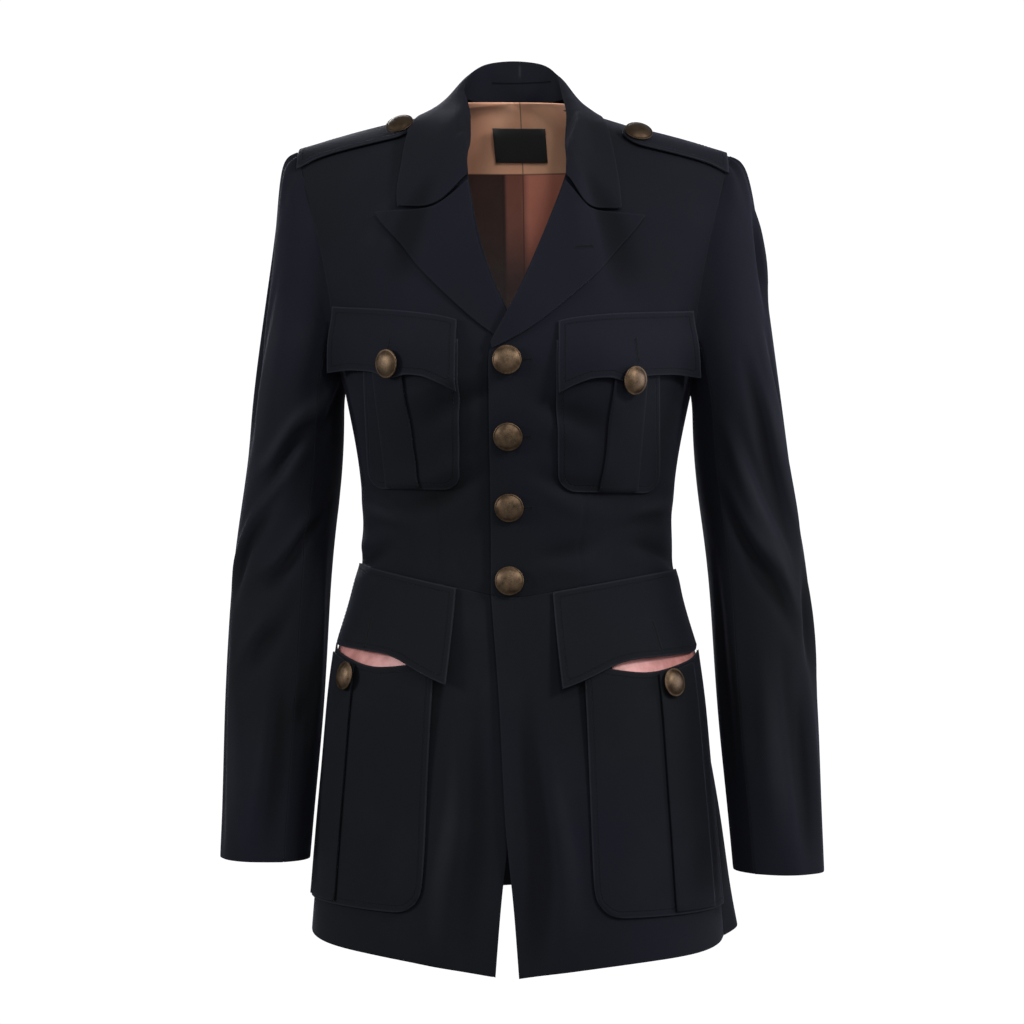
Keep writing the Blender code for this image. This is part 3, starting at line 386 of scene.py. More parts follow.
STAND_CREASE_HIGHLIGHT_X = -1.5 * MM  # where the collar's stand is creased, with a painted highlight along the crease, high at the centre back
YOKE_Z = -0.036  # the lining's yoke seam
PLEAT_X = -17.4 * MM  # the lining's pleat under the yoke, beside its centre seam


def wool(name, topstitch=None, stand=None):
    """Navy twill with a faint nap, painted highlight on the folds' crests and painted shade in their
    hollows and grooves.

    topstitch is the distance of a stitched line from the edge, and stand the height of a seam.
    """
    made = Finish(name, Sheen_Weight=0.075, Sheen_Roughness=0.30, Sheen_Tint=NAVY_SHEEN)
    made.shader.inputs["Specular IOR Level"].default_value = 0.10
    at, u, v = made.flat()
    edge = made.attribute("edge")
    line = ((u + v * 0.75) / TWILL).wave()
    thread = ((v - u * 1.3) / (TWILL * 0.55)).wave()
    nap = made.noise(at, 2600.0, 3.0, 0.7)
    soft = made.noise(at, 14.0, 4.0, 0.55)
    wide = made.noise(at, 3.2, 2.0, 0.5)
    crest = made.attribute("crest")
    cloth = line * 0.55 + thread * 0.2 + nap * 0.6
    colour = made.mix(wide.ramp(0.35, 0.70), NAVY, NAVY_BLUE)
    colour = made.mix(soft.ramp(0.45, 0.80) * 0.30, colour, NAVY_WORN)
    colour = made.mix(cloth.ramp(0.35, 1.15) * 0.28, colour, NAVY_WORN)
    # painted highlight along the folds' crests
    colour = made.mix(crest.ramp(0.15, 1.0) * (soft * 0.7 + 0.3) * CREST_HIGHLIGHT, colour, NAVY_HIGHLIGHT_AND_WEAR)
    # painted shade in the folds' hollows
    colour = made.mix((crest * -1).ramp(0.10, 0.70) * 0.55, colour, NAVY_PAINTED_SHADE)
    # the edges lighter: partly worn nap, partly painted sheen on the pressed edges
    worn = (1 - edge.ramp(*EDGE_WEAR_AND_SHEEN)) * (soft * 0.7 + 0.15)
    colour = made.mix(worn * (SEWN_EDGE_WEAR_AND_SHEEN if topstitch else PLAIN_EDGE_WEAR_AND_SHEEN), colour, NAVY_HIGHLIGHT_AND_WEAR)
    normal = made.bump(cloth, 0.09 * MM, 0.5)
    normal = made.bump(soft, 1.0 * MM, 0.45, normal)
    if topstitch:
        dent = 1 - (edge - topstitch).size().ramp(0.15 * MM, 0.9 * MM)
        normal = made.bump(1 - dent, 0.35 * MM, 0.7, normal)
        # painted shade in the stitched groove
        colour = made.mix(dent * 0.35, colour, NAVY_PAINTED_SHADE)
    if stand:
        above = made.attribute("stand") - stand
        dent = 1 - above.size().ramp(0.3 * MM, 1.1 * MM)
        normal = made.bump(1 - dent, 0.8 * MM, 0.9, normal)
        # painted shade in the groove of the stand's seam
        colour = made.mix(dent * 0.8, colour, NAVY_PAINTED_SHADE)
        _, x, _, _ = made.place()
        # a painted highlight down the crease of the stand's inner face, at the centre back
        crease_highlight = above.ramp(4 * MM, 8 * MM) * (1 - above.ramp(14 * MM, 18 * MM))
        crease_highlight = crease_highlight * (1 - (x - STAND_CREASE_HIGHLIGHT_X).size().ramp(0.3 * MM, 1.8 * MM))
        colour = made.mix(crease_highlight * 0.6, colour, NAVY_HIGHLIGHT_AND_WEAR)
    return made.set(Base_Color=colour, Roughness=0.80 + nap * 0.14, Normal=normal)


def crinkled(made, at, u, shade):
    """Fine ribs, slack and small wrinkles over a lining of one shade."""
    rib = (u / (0.5 * MM)).wave()
    cloud = made.noise(at, 11.0, 4.0, 0.6)
    fine = made.noise(at, 900.0, 2.0, 0.5)
    normal = made.bump(rib * 0.4 + fine, 0.05 * MM, 0.4)
    normal = made.bump(cloud, 3.0 * MM, 0.45, normal)
    return {"Base_Color": shade, "Roughness": 0.36 + fine * 0.22, "Normal": normal}


def back_satin():
    """The back's lining: a golden yoke, salmon under it, a centre seam and a pleat, with painted shade on
    the wearer's right and towards the bottom.
    """
    made = Finish("salmon satin", Sheen_Weight=0.12)
    at, u, _ = made.flat()
    _, x, _, z = made.place()
    cloud = made.noise(at, 9.0, 4.0, 0.6).ramp(0.30, 0.72)
    yoke = z.ramp(YOKE_Z - 0.4 * MM, YOKE_Z + 0.4 * MM)
    # painted light and shade across the lining: lit salmon on the wearer's left, and a painted-shade copy
    # of it beyond the pleat on the wearer's right
    lit = x.ramp(PLEAT_X - 1 * MM, PLEAT_X + 4 * MM) * 0.35 + x.ramp(-2 * MM, 6 * MM) * 0.65
    salmon = made.mix(cloud, (0.560, 0.185, 0.125), (0.680, 0.250, 0.172))
    salmon_in_painted_shade = made.mix(cloud, (0.032, 0.012, 0.009), (0.060, 0.024, 0.018))
    under = made.mix(lit, salmon_in_painted_shade, salmon)
    # painted shade, darker towards the lining's bottom
    under = made.mix((1 - z.ramp(-0.135, -0.070)) * 0.90, under, (0.025, 0.010, 0.009))
    golden = made.mix(cloud, (0.840, 0.400, 0.240), (0.940, 0.530, 0.340))
    # painted shade over the yoke towards the wearer's right
    golden = made.mix((1 - x.ramp(-0.045, -0.012)) * 0.6, golden, (0.300, 0.125, 0.080))
    shade = made.mix(yoke, under, golden)
    seam = 1 - x.size().ramp(0.25 * MM, 0.8 * MM)
    pleat = (1 - (x - PLEAT_X).size().ramp(0.4 * MM, 2.2 * MM)) * (1 - yoke)
    cross = 1 - (z - YOKE_Z).size().ramp(0.3 * MM, 0.9 * MM)
    # dark seam lines, and painted shade along the pleat
    shade = made.mix((seam + pleat + cross).math("MINIMUM", 1.0) * 0.6, shade, (0.020, 0.008, 0.006))
    return made.set(**crinkled(made, at, u, shade))


def pocketing():
    """The hip pockets' pink lining."""
    made = Finish("pink pocketing", Sheen_Weight=0.12)
    at, u, _ = made.flat()
    cloud = made.noise(at, 60.0, 3.0, 0.6).ramp(0.32, 0.70)
    shade = made.mix(cloud, (0.400, 0.150, 0.132), (0.600, 0.268, 0.246))
    return made.set(**crinkled(made, at, u, shade))


def woven_label():
    """The neck label's black weave, bare."""
    made = Finish("black woven label", Sheen_Weight=0.15)
    at, u, v = made.flat()
    weave = (u / (0.35 * MM)).wave() * 0.5 + (v / (0.35 * MM)).wave() * 0.5
    cloud = made.noise(at, 220.0, 3.0)
    shade = made.mix(weave * 0.6 + cloud * 0.4, (0.0070, 0.0068, 0.0075), (0.0240, 0.0235, 0.0250))
    normal = made.bump(weave, 0.06 * MM, 0.6)
    return made.set(Base_Color=shade, Roughness=0.55 + cloud * 0.2, Normal=normal)


def antique_brass(name, painted_shade=0.0):
    """Dull brass, darker round its rim; its last argument, from 0 to 1, darkens it all over as painted
    shade.
    """
    made = Finish(name, Metallic=0.92)
    at, *_ = made.place()
    tarnish = made.noise(at, 160.0, 5.0, 0.62)
    fine = made.noise(at, 1500.0, 3.0, 0.6)
    dome = made.attribute("dome")
    dark, light, worn = (0.034, 0.022, 0.013), (0.120, 0.078, 0.047), (0.230, 0.162, 0.105)
    colour = made.mix(tarnish.ramp(0.22, 0.72), dark, light)
    colour = made.mix(dome.ramp(0.55, 1.0) * fine.ramp(0.35, 0.75) * 0.5, colour, worn)
    colour = made.mix((1 - dome.ramp(0.0, 0.30)) * 0.6, colour, dark)
    # painted shade over the whole button, for the shoulder buttons
    colour = made.mix(painted_shade, colour, dark)
    normal = made.bump(tarnish * 0.6 + fine * 0.4, 0.12 * MM, 0.45)
    return made.set(Base_Color=colour, Roughness=0.36 + tarnish * 0.26, Normal=normal)


def thread_finish(name, colour):
    """Matt twisted thread of one colour."""
    made = Finish(name, Sheen_Weight=0.04)
    made.shader.inputs["Specular IOR Level"].default_value = 0.12
    at, *_ = made.place()
    twist = made.noise(at, 2400.0, 2.0, 0.6)
    shade = made.mix(twist, colour, tuple(c * 1.9 for c in colour))
    normal = made.bump(twist, 0.06 * MM, 0.6)
    return made.set(Base_Color=shade, Roughness=0.55 + twist * 0.25, Normal=normal)


# -------------------------------------------------------------------------------------------- the panels
# A cloth panel: its solid, its subdivisions, its finish and slot, whose folds it takes (the body's or one
# sleeve's), and its cut's width, length and share of their product.
Panel = namedtuple("Panel", "node levels finish slot folds width length share")
PANELS = []
for side in SIDES:
    PANELS += [
        Panel(f"front_{side}", 3, "wool", "wool", "body", 0.238, 0.489, 0.65),
        Panel(f"back_{side}", 3, "wool", "wool", "body", 0.201, 0.497, 0.75),
        Panel(f"skirt_front_{side}", 3, "wool", "wool", "body", 0.233, 0.315, 0.94),
        Panel(f"skirt_back_{side}", 3, "wool", "wool", "body", 0.267, 0.313, 0.81),
        Panel(f"top_sleeve_{side}", 3, "wool", "wool", side, 0.338, 0.612, 0.49),
        Panel(f"under_sleeve_{side}", 3, "wool", "wool", side, 0.183, 0.484, 0.53),
        Panel(f"lapel_{side}", 3, "wool", "wool", "body", 0.083, 0.178, 0.43),
        Panel(f"chest_pocket_{side}", 2, "edged", "wool", "body", 0.102, 0.137, 0.885),
        Panel(f"chest_pleat_{side}", 2, "wool", "wool", "body", 0.036, 0.107, 0.965),
        Panel(f"chest_flap_{side}", 3, "edged", "wool", "body", 0.152, 0.060, 0.81),
        Panel(f"hip_pocket_{side}", 2, "edged", "wool", "body", 0.165, 0.215, 0.90),
        Panel(f"hip_pleat_{side}", 2, "wool", "wool", "body", 0.054, 0.203, 0.94),
        Panel(f"hip_flap_{side}", 3, "edged", "wool", "body", 0.170, 0.080, 0.78),
        Panel(f"hip_lining_{side}", 2, "pink", "pocketing", "body", 0.122, 0.031, 0.96),
    ]
PANELS += [
    Panel("epaulette_left", 2, "edged", "wool", "body", 0.057, 0.103, 0.64),
    Panel("epaulette_right", 2, "edged", "wool", "body", 0.057, 0.115, 0.65),
    Panel("back_lining", 2, "satin", "satin", "body", 0.402, 0.490, 0.74),
    Panel("collar", 3, "collar", "wool", "body", 0.101, 0.533, 0.60),
    Panel("label", 2, "label", "label", "body", 0.045, 0.029, 0.99),
]
MERGE = 0.02 * MM  # points of a solid that are nearer than this are one
PAIR_TURN, PAIR_SKEW = math.radians(42), math.radians(75)  # two triangles inside both are paired to a quad
CORNER, COLLAR_CORNER = math.radians(64), math.radians(74)  # an edge that turns by more is a cut edge
CREASE = {2: 0.55, 3: 0.70}  # by the subdivisions: the cut edges end just rounded
SHARP = math.radians(50)  # an edge of the finished cloth that turns by more is shaded sharp
EDGE_STEP = 1.0 * MM  # between the points along the cut edges that distances are measured from
THICKEST = 3.8 * MM  # a rim face is no wider than this
SEAM_CLOSE = 0.40 * MM  # every rim goes out by this, so that sewn panels meet
SAME_WAY = 0.7  # two faces whose normals' product is above this belong to one side of a rim
LINING_IN = 1.0 * MM  # the back's lining lies this much further in than its solid
LINING_Z = (-0.110, -0.060)  # where the way in turns from square to the lining to straight forwards
NECK_UP, NECK_IN = 5.0 * MM, 12.0 * MM  # the lining goes up and in at the neck, behind the collar's stand
NECK_Z, NECK_HALF = (-0.034, 0.004), (0.050, 0.064)  # where it begins to, and how far to each side
HEAD_IN, HEAD_EDGE = 0.7 * MM, 8 * MM  # the sleeve heads' edges go in by this onto the armholes
HEAD_IN_Z = (-0.180, -0.150)  # where they begin to


def linked(name, data):
    """An object of some data, in the scene."""
    made = bpy.data.objects.new(name, data)
    bpy.context.scene.collection.objects.link(made)
    return made


def evaluated(rough, name):
    """What an object's modifiers make of it, as a new plain object in its place."""
    bpy.context.view_layer.update()
    final = bpy.data.meshes.new_from_object(rough.evaluated_get(bpy.context.evaluated_depsgraph_get()))
    bpy.data.objects.remove(rough)
    return linked(name, final)


def column(items, name, width=1, kind=float):
    """One value of a mesh's points, faces or corners, as an array with a row for each."""
    flat = np.zeros(len(items) * width, kind)
    items.foreach_get(name, flat)
    return flat.reshape(-1, width) if width > 1 else flat


def points_of(mesh):
    return column(mesh.vertices, "co", 3)


def rim_ways(shape, cut):
    """The ways out of a panel's rim at each of its vertices, one for each side that meets there."""
    ways = {}
    for face in shape.faces:
        if len(face.loops) != 4:
            continue
        sides = [loop.edge for loop in face.loops]
        for k in (0, 1):
            across = sides[1 - k].calc_length()
            if sides[k] in cut and sides[k + 2] in cut and across < THICKEST:
                for vert in face.verts:
                    known = ways.setdefault(vert, [])
                    if all(face.normal.dot(other) < SAME_WAY for other in known):
                        known.append(face.normal.copy())
                break
    return ways


def quads(node, crease_by):
    """A copy of a solid's mesh, its triangles paired and its cut edges creased, and points along those.

    The corners where more than two cut edges meet are pinned.
    """
    shape = bmesh.new()
    shape.from_mesh(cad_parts[node].data)
    bmesh.ops.remove_doubles(shape, verts=shape.verts, dist=MERGE)
    bmesh.ops.join_triangles(
        shape, faces=shape.faces, angle_face_threshold=PAIR_TURN, angle_shape_threshold=PAIR_SKEW
    )
    crease = shape.edges.layers.float.new("crease_edge")
    pin = shape.verts.layers.float.new("crease_vert")
    shape.normal_update()
    corner = COLLAR_CORNER if node == "collar" else CORNER
    cut = {edge for edge in shape.edges if len(edge.link_faces) == 2 and edge.calc_face_angle() > corner}
    for vert, ways in rim_ways(shape, cut).items():
        vert.co += sum(ways, Vector()) * SEAM_CLOSE
    rim = []
    for edge in cut:
        edge[crease] = crease_by
        start, end = (np.array(v.co) for v in edge.verts)
        count = max(2, int(np.linalg.norm(end - start) / EDGE_STEP))
        rim += [start + (end - start) * t for t in np.linspace(0, 1, count)]
        for vert in edge.verts:
            if sum(other in cut for other in vert.link_edges) > 2:
                vert[pin] = 1.0
    return shape, np.array(rim)


def rounded(name, shape, levels):
    """A shape as a new object, made finer and rounder by subdivisions."""
    mesh = bpy.data.meshes.new(name)
    shape.to_mesh(mesh)
    shape.free()
    rough = linked(name + "_rough", mesh)
    finer = rough.modifiers.new("finer", "SUBSURF")
    finer.levels = finer.render_levels = levels
    finer.boundary_smooth = "PRESERVE_CORNERS"
    return evaluated(rough, name)


def distance_from(places, points):
    """Each point's distance from the nearest of some places."""
    tree = KDTree(len(places))
    for index, place in enumerate(places):
        tree.insert(place, index)
    tree.balance()
    return np.array([tree.find(p)[2] for p in points])


def flat_map(mesh, points, turn, radius):
    """The cloth's own flat coordinates: round the body by its turn, up by its height."""
    loops = column(mesh.loops, "vertex_index", kind=int)
    u = np.radians(turn)[loops] * radius
    for face in mesh.polygons:
        span = slice(face.loop_start, face.loop_start + face.loop_total)
        if np.ptp(u[span]) > math.pi * radius:
            u[span] = np.where(u[span] < 0, u[span] + 2 * math.pi * radius, u[span])
    layer = mesh.uv_layers.new(name="cloth")
    layer.data.foreach_set("uv", np.stack([u, points[loops, 2]], 1).ravel().astype(np.float32))


def keep_attribute(mesh, name, values):
    made = mesh.attributes.new(name, "FLOAT", "POINT")
    made.data.foreach_set("value", np.asarray(values, dtype=np.float32))


def seam_grooves(points, turn):
    """How far the cloth sinks in at the seams that are pressed into one panel, as a move outwards."""
    out = np.zeros(len(points))
    for seam in SEAMS:
        _, away, share = along_line(turn, points[:, 2], seam, BODY_RADIUS)
        inside = (share > 0) & (share < 1)
        out -= SEAM_DEPTH * np.exp(-((away / SEAM_WIDTH) ** 2)) * inside
    return out


def lined(points, way, up):
    """How the back's lining moves: in from its solid, and in and up by the collar's stand."""
    high = smooth(*LINING_Z, points[:, 2])[:, None]
    neck = smooth(*NECK_Z, points[:, 2]) * (1 - smooth(*NECK_HALF, np.abs(points[:, 0])))
    inwards = -way * (1 - high) + np.array([0.0, -1.0, 0.0]) * high
    return inwards * LINING_IN + np.stack([0 * neck, -neck * NECK_IN, neck * up], 1)


def head_in(points, edge):
    """How far a sleeve's head goes in at its edge, onto the armhole."""
    return HEAD_IN * (1 - smooth(0, HEAD_EDGE, edge)) * smooth(*HEAD_IN_Z, points[:, 2])


def stand_height(mesh, points):
    """The height on the face of the collar's stand that looks forwards, and far away elsewhere."""
    normals = column(mesh.vertex_normals, "vector", 3)
    forward = (normals[:, 1] < -0.2) & (np.abs(points[:, 0]) < STAND_HALF) & (points[:, 1] > 0)
    return np.where(forward, points[:, 2], 1.0)


SURFACES = {}  # the finished meshes of the panels, by their nodes


def make_panel(panel):
    """A panel's fine, folded mesh, with its flat coordinates, its distances from the edge and its stitches.

    Its folds move it, and then its seams, the lining's place or the sleeve head's does.
    """
    shape, rim = quads(panel.node, CREASE[panel.levels])
    made = rounded(panel.node + "_cloth", shape, panel.levels)
    mesh = made.data
    points = points_of(mesh)
    edge = distance_from(rim, points)
    if panel.folds == "body":
        turn, way = body_turn(points)
        radius = BODY_RADIUS
        field, crest = body_field(points)
        moved = points + field
        if panel.node.startswith(SEAMED):
            moved += way * seam_grooves(points, turn)[:, None]
        if panel.node == "back_lining":
            moved += lined(points, way, NECK_UP)
        if panel.node == "label":
            moved += lined(points, way, 0)
    else:
        sign = SIDES[panel.folds]
        turn, _ = sleeve_turn(points, sign)
        radius = SLEEVE_RADIUS
        field, crest = sleeve_field(points, panel.folds)
        moved = points + field
        moved[:, 0] -= sign * head_in(points, edge)
    mesh.vertices.foreach_set("co", moved.ravel())
    flat_map(mesh, points, turn, radius)
    keep_attribute(mesh, "edge", edge)
    keep_attribute(mesh, "crest", crest)
    if panel.node == "collar":
        keep_attribute(mesh, "stand", stand_height(mesh, points))
    mesh.set_sharp_from_angle(angle=SHARP)
    mesh.materials.clear()
    mesh.materials.append(FINISHES[panel.finish])
    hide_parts(panel.node)
    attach(made, "root")
    SURFACES[panel.node] = mesh
    sewn = [sew_line(panel.node, mesh, edge)] if panel.finish == "edged" else []


# ----------------------------------------------------------------------------------------- the stitching
Stitch = namedtuple("Stitch", "length thickness pitch")
RUNNING = Stitch(2.4 * MM, 0.40 * MM, 3.2 * MM)
PURL = Stitch(1.1 * MM, 0.34 * MM, 0.46 * MM)
SLIT = Stitch(1.8 * MM, 0.95 * MM, 0.7 * MM)  # painted shadow in a buttonhole's gap, laid like close stitches
STITCH_LIFT = 0.05 * MM  # of a stitch's middle over the cloth
STITCH_SIDES = 5
FEWEST_CROSSINGS = 12  # a line with fewer isn't an edge of the panel


def stitch_tree():
    """Lays a stitch, a short rounded length of thread, on every point, along the point's own way."""
    tree = bpy.data.node_groups.new("stitches", "GeometryNodeTree")
    tree.interface.new_socket("Points", in_out="INPUT", socket_type="NodeSocketGeometry")
    for name in ("Length", "Thickness"):
        tree.interface.new_socket(name, in_out="INPUT", socket_type="NodeSocketFloat")
    tree.interface.new_socket("Thread", in_out="INPUT", socket_type="NodeSocketMaterial")
    tree.interface.new_socket("Stitches", in_out="OUTPUT", socket_type="NodeSocketGeometry")
    add, link = tree.nodes.new, tree.links.new
    given, result = add("NodeGroupInput"), add("NodeGroupOutput")
    ball = add("GeometryNodeMeshUVSphere")
    ball.inputs["Segments"].default_value = ball.inputs["Rings"].default_value = STITCH_SIDES
    ball.inputs["Radius"].default_value = 0.5
    size = add("ShaderNodeCombineXYZ")
    link(given.outputs["Thickness"], size.inputs["X"])
    link(given.outputs["Thickness"], size.inputs["Y"])
    link(given.outputs["Length"], size.inputs["Z"])
    way = add("GeometryNodeInputNamedAttribute")
    way.data_type = "FLOAT_VECTOR"
    way.inputs["Name"].default_value = "way"
    turned = add("FunctionNodeAlignRotationToVector")
    turned.axis = "Z"
    link(way.outputs["Attribute"], turned.inputs["Vector"])
    spread = add("GeometryNodeInstanceOnPoints")
    link(given.outputs["Points"], spread.inputs["Points"])
    link(ball.outputs["Mesh"], spread.inputs["Instance"])
    link(turned.outputs["Rotation"], spread.inputs["Rotation"])
    link(size.outputs["Vector"], spread.inputs["Scale"])
    real, dyed = add("GeometryNodeRealizeInstances"), add("GeometryNodeSetMaterial")
    link(spread.outputs["Instances"], real.inputs["Geometry"])
    link(real.outputs["Geometry"], dyed.inputs["Geometry"])
    link(given.outputs["Thread"], dyed.inputs["Material"])
    link(dyed.outputs["Geometry"], result.inputs["Stitches"])
    return tree


STITCHES = stitch_tree()


def sew(name, places, ways, stitch, thread):
    """One piece of stitches, each at its place and along its way."""
    mesh = bpy.data.meshes.new(name + "_points")
    mesh.from_pydata([tuple(p) for p in places], [], [])
    kept = mesh.attributes.new("way", "FLOAT_VECTOR", "POINT")
    kept.data.foreach_set("vector", np.asarray(ways, dtype=np.float32).ravel())
    rough = linked(name + "_points", mesh)
    added = rough.modifiers.new("sewn", "NODES")
    added.node_group = STITCHES
    given = {"Length": stitch.length, "Thickness": stitch.thickness, "Thread": FINISHES[thread]}
    for item in STITCHES.interface.items_tree:
        if item.in_out == "INPUT" and item.name in given:
            added[item.identifier] = given[item.name]
    made = evaluated(rough, name)
    made.data.shade_smooth()
    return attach(made, "root")


def outwards(middles, normals):
    """Whether each face looks away from the wearer: from the spine, or up on the collar and shoulders."""
    return np.einsum("ij,ij->i", from_spine(middles, SHOULDER_Z), normals) > 0


def level_line(mesh, values, level):
    """The line on a mesh's outer side where a value passes a level.

    It comes as the places where the line crosses the mesh's edges, and the neighbours of each on the line.
    """
    starts = column(mesh.polygons, "loop_start", kind=int)
    totals = column(mesh.polygons, "loop_total", kind=int)
    normals = column(mesh.polygons, "normal", 3)
    corners = column(mesh.loops, "vertex_index", kind=int)
    passed = np.add.reduceat(values[corners] > level, starts)
    outer = outwards(column(mesh.polygons, "center", 3), normals)
    points = points_of(mesh)
    places, links = {}, {}
    for face in np.nonzero((passed > 0) & (passed < totals) & outer)[0]:
        ring = corners[starts[face] : starts[face] + totals[face]]
        met = []
        for first, second in zip(ring, np.roll(ring, -1)):
            if (values[first] > level) != (values[second] > level):
                key = (min(first, second), max(first, second))
                share = (level - values[key[0]]) / (values[key[1]] - values[key[0]])
                place = points[key[0]] + share * (points[key[1]] - points[key[0]])
                places[key] = place + normals[face] * STITCH_LIFT
                met.append(key)
        if len(met) == 2:
            links.setdefault(met[0], []).append(met[1])
            links.setdefault(met[1], []).append(met[0])
    return places, links


def chains(places, links):
    """The crossings in order, one list for each separate line."""
    left = set(links)
    while left:
        ends = [key for key in left if len(links[key]) == 1]
        line = [min(ends) if ends else min(left)]
        left.discard(line[0])
        while True:
            onward = [key for key in links[line[-1]] if key in left]
            if not onward:
                break
            line.append(onward[0])
            left.discard(onward[0])
        yield np.array([places[key] for key in line])


def paced(line, pitch):
    """Points at an even pitch along a line, and the line's way at each."""
    length = np.concatenate([[0], np.cumsum(np.linalg.norm(np.diff(line, axis=0), axis=1))])

    def places(at):
        return np.stack([np.interp(at, length, line[:, k]) for k in range(3)], 1)

    at, near = np.arange(pitch / 2, length[-1], pitch), pitch * 0.3
    return places(at), places(at + near) - places(at - near)


def sew_line(node, mesh, edge):
    """The row of stitches that runs round a panel, in from its edge."""
    lines = [line for line in chains(*level_line(mesh, edge, TOPSTITCH)) if len(line) > FEWEST_CROSSINGS]
    rows = [paced(line, RUNNING.pitch) for line in lines]
    at, way = (np.concatenate([row[k] for row in rows]) for k in (0, 1))
    return sew(f"{node}_stitches_1", at, way, RUNNING, "thread")


# ------------------------------------------------------------------------------------- the buttonholes
# A buttonhole: the panel it is cut in and its two ends in x and z, as seen from the front. They are counted
# from the middle of its button, or from the jacket's origin where it names none.
Hole = namedtuple("Hole", "name node button x z x_end z_end")
HOLES = (
    Hole("front_1", "front_left", "button_front_1", -1 * MM, 0, 19.7 * MM, 0),
    Hole("front_2", "front_left", "button_front_2", -1 * MM, 0, 18.9 * MM, 0),
    Hole("front_3", "front_left", "button_front_3", -1 * MM, 0, 18.5 * MM, 0),
    Hole("front_4", "front_left", "button_front_4", -1 * MM, 0, 15.5 * MM, 0),
    Hole("chest_left", "chest_flap_left", "button_chest_left", 2 * MM, 16.5 * MM, 0, 33 * MM),
    Hole("chest_right", "chest_flap_right", "button_chest_right", 0, 4 * MM, 3 * MM, 20 * MM),
    Hole("hip_left", "hip_flap_left", None, 0.1166, -0.4243, 0.1238, -0.4482),
    Hole("hip_right", "hip_flap_right", None, -0.1166, -0.4203, -0.1218, -0.4442),
    Hole("lapel", "lapel_left", None, 0.0540, -0.1180, 0.0680, -0.1172),
)
HOLE_HALF = 1.0 * MM  # from the middle of a buttonhole to its purl stitches
SLIT_DEEP = 0.12 * MM  # how far its dark slit lies in the cloth
FAN, FAN_STITCHES = 80, 9  # the purl stitches round each end, up to this many degrees to each side
IN_FRONT = 0.5  # how far before the jacket a look at its panels starts
TREES = {}  # of the panels' faces, by their nodes


def on_panel(node, x, z):
    """The outermost point of a panel seen from the front at x and z, and its normal."""
    mesh = SURFACES[node]
    if node not in TREES:
        faces = [tuple(face.vertices) for face in mesh.polygons]
        TREES[node] = BVHTree.FromPolygons(points_of(mesh).tolist(), faces)
    place, normal, *_ = TREES[node].ray_cast(Vector((x, -IN_FRONT, z)), Vector((0, 1, 0)))
    return None if place is None else (np.array(place), np.array(normal))


def hole_ends(hole):
    """Both ends of a buttonhole, in x and z."""
    x = z = 0
    if hole.button:
        low, high = (np.array(corner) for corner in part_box(hole.button))
        x, _, z = (low + high) / 2
    return np.array([x + hole.x, z + hole.z]), np.array([x + hole.x_end, z + hole.z_end])


def make_hole(hole):
    """A worked buttonhole: a slit of painted shadow with close purl stitches round it."""
    start, end = hole_ends(hole)
    length = np.linalg.norm(end - start)
    way = (end - start) / length
    across = np.array([-way[1], way[0]])
    slit, slit_way, purl, purl_way = [], [], [], []
    for at in np.arange(0.5 * MM, length, SLIT.pitch):
        found = on_panel(hole.node, *(start + way * at))
        if found:
            slit.append(found[0] - found[1] * SLIT_DEEP)
            slit_way.append((way[0], 0.0, way[1]))
    steps = []
    for at in np.arange(0, length, PURL.pitch):
        steps += [(start + way * at + across * side * HOLE_HALF, across * side) for side in (-1, 1)]
    for turn in np.linspace(-FAN, FAN, FAN_STITCHES):
        bend = way * math.cos(math.radians(turn)) + across * math.sin(math.radians(turn))
        steps += [(end + bend * HOLE_HALF, bend), (start - bend * HOLE_HALF, -bend)]
    for spot, out in steps:
        found = on_panel(hole.node, *spot)
        if found:
            flat = np.array([out[0], 0.0, out[1]])
            purl.append(found[0] + found[1] * STITCH_LIFT)
            purl_way.append(flat - (flat @ found[1]) * found[1])
    sew(f"buttonhole_{hole.name}_slit", slit, slit_way, SLIT, "slit")
    sew(f"buttonhole_{hole.name}", purl, purl_way, PURL, "thread")


# ------------------------------------------------------------------------------------------ the finishes
FINISHES = {
    "wool": wool("navy wool twill"),
    "edged": wool("navy wool twill, topstitched", topstitch=TOPSTITCH),
    "collar": wool("navy wool twill, collar", stand=STAND_SEAM_Z),
    "satin": back_satin(),
    "pink": pocketing(),
    "label": woven_label(),
    "brass": antique_brass("antique brass"),
    # the shoulder buttons' brass: the same metal, darkened all over as painted shade
    "dark_brass": antique_brass("tarnished brass", painted_shade=0.75),
    "thread": thread_finish("navy thread", (0.0042, 0.0047, 0.0062)),
    "slit": thread_finish("shadow in a buttonhole", (0.0008, 0.0008, 0.0010)),
}

# ------------------------------------------------------------------------------------------- the camera
CAMERA_AWAY, CAMERA_Z, CAMERA_TURN = 2.4, -0.333, math.radians(3.6)
SENSOR = 36.0  # the camera's own width, in millimetres
PHOTO_WIDTH, AXIS_PIXEL = 1024, 517  # the photograph's pixels, and the one where the jacket's middle stands
PIXEL = 0.00085  # what one pixel takes in at the middle of the jacket


def aim(made, at, target):
    """Puts a camera or a light at one place and points it to another."""
    made.location = at
    made.rotation_euler = (Vector(target) - Vector(at)).to_track_quat("-Z", "Y").to_euler()


def make_camera():
    lens = bpy.data.cameras.new("camera")
    lens.sensor_width = SENSOR
    lens.lens = SENSOR * CAMERA_AWAY / (PHOTO_WIDTH * PIXEL)
    made = linked("camera", lens)
    across, ahead = math.cos(CAMERA_TURN), math.sin(CAMERA_TURN)
    aside = Vector((across, ahead, 0)) * (PHOTO_WIDTH / 2 - AXIS_PIXEL) * PIXEL
    back = Vector((ahead, -across, 0)) * CAMERA_AWAY
    middle = Vector((0, 0, CAMERA_Z)) + aside
    aim(made, middle + back, middle)
    bpy.context.scene.camera = made


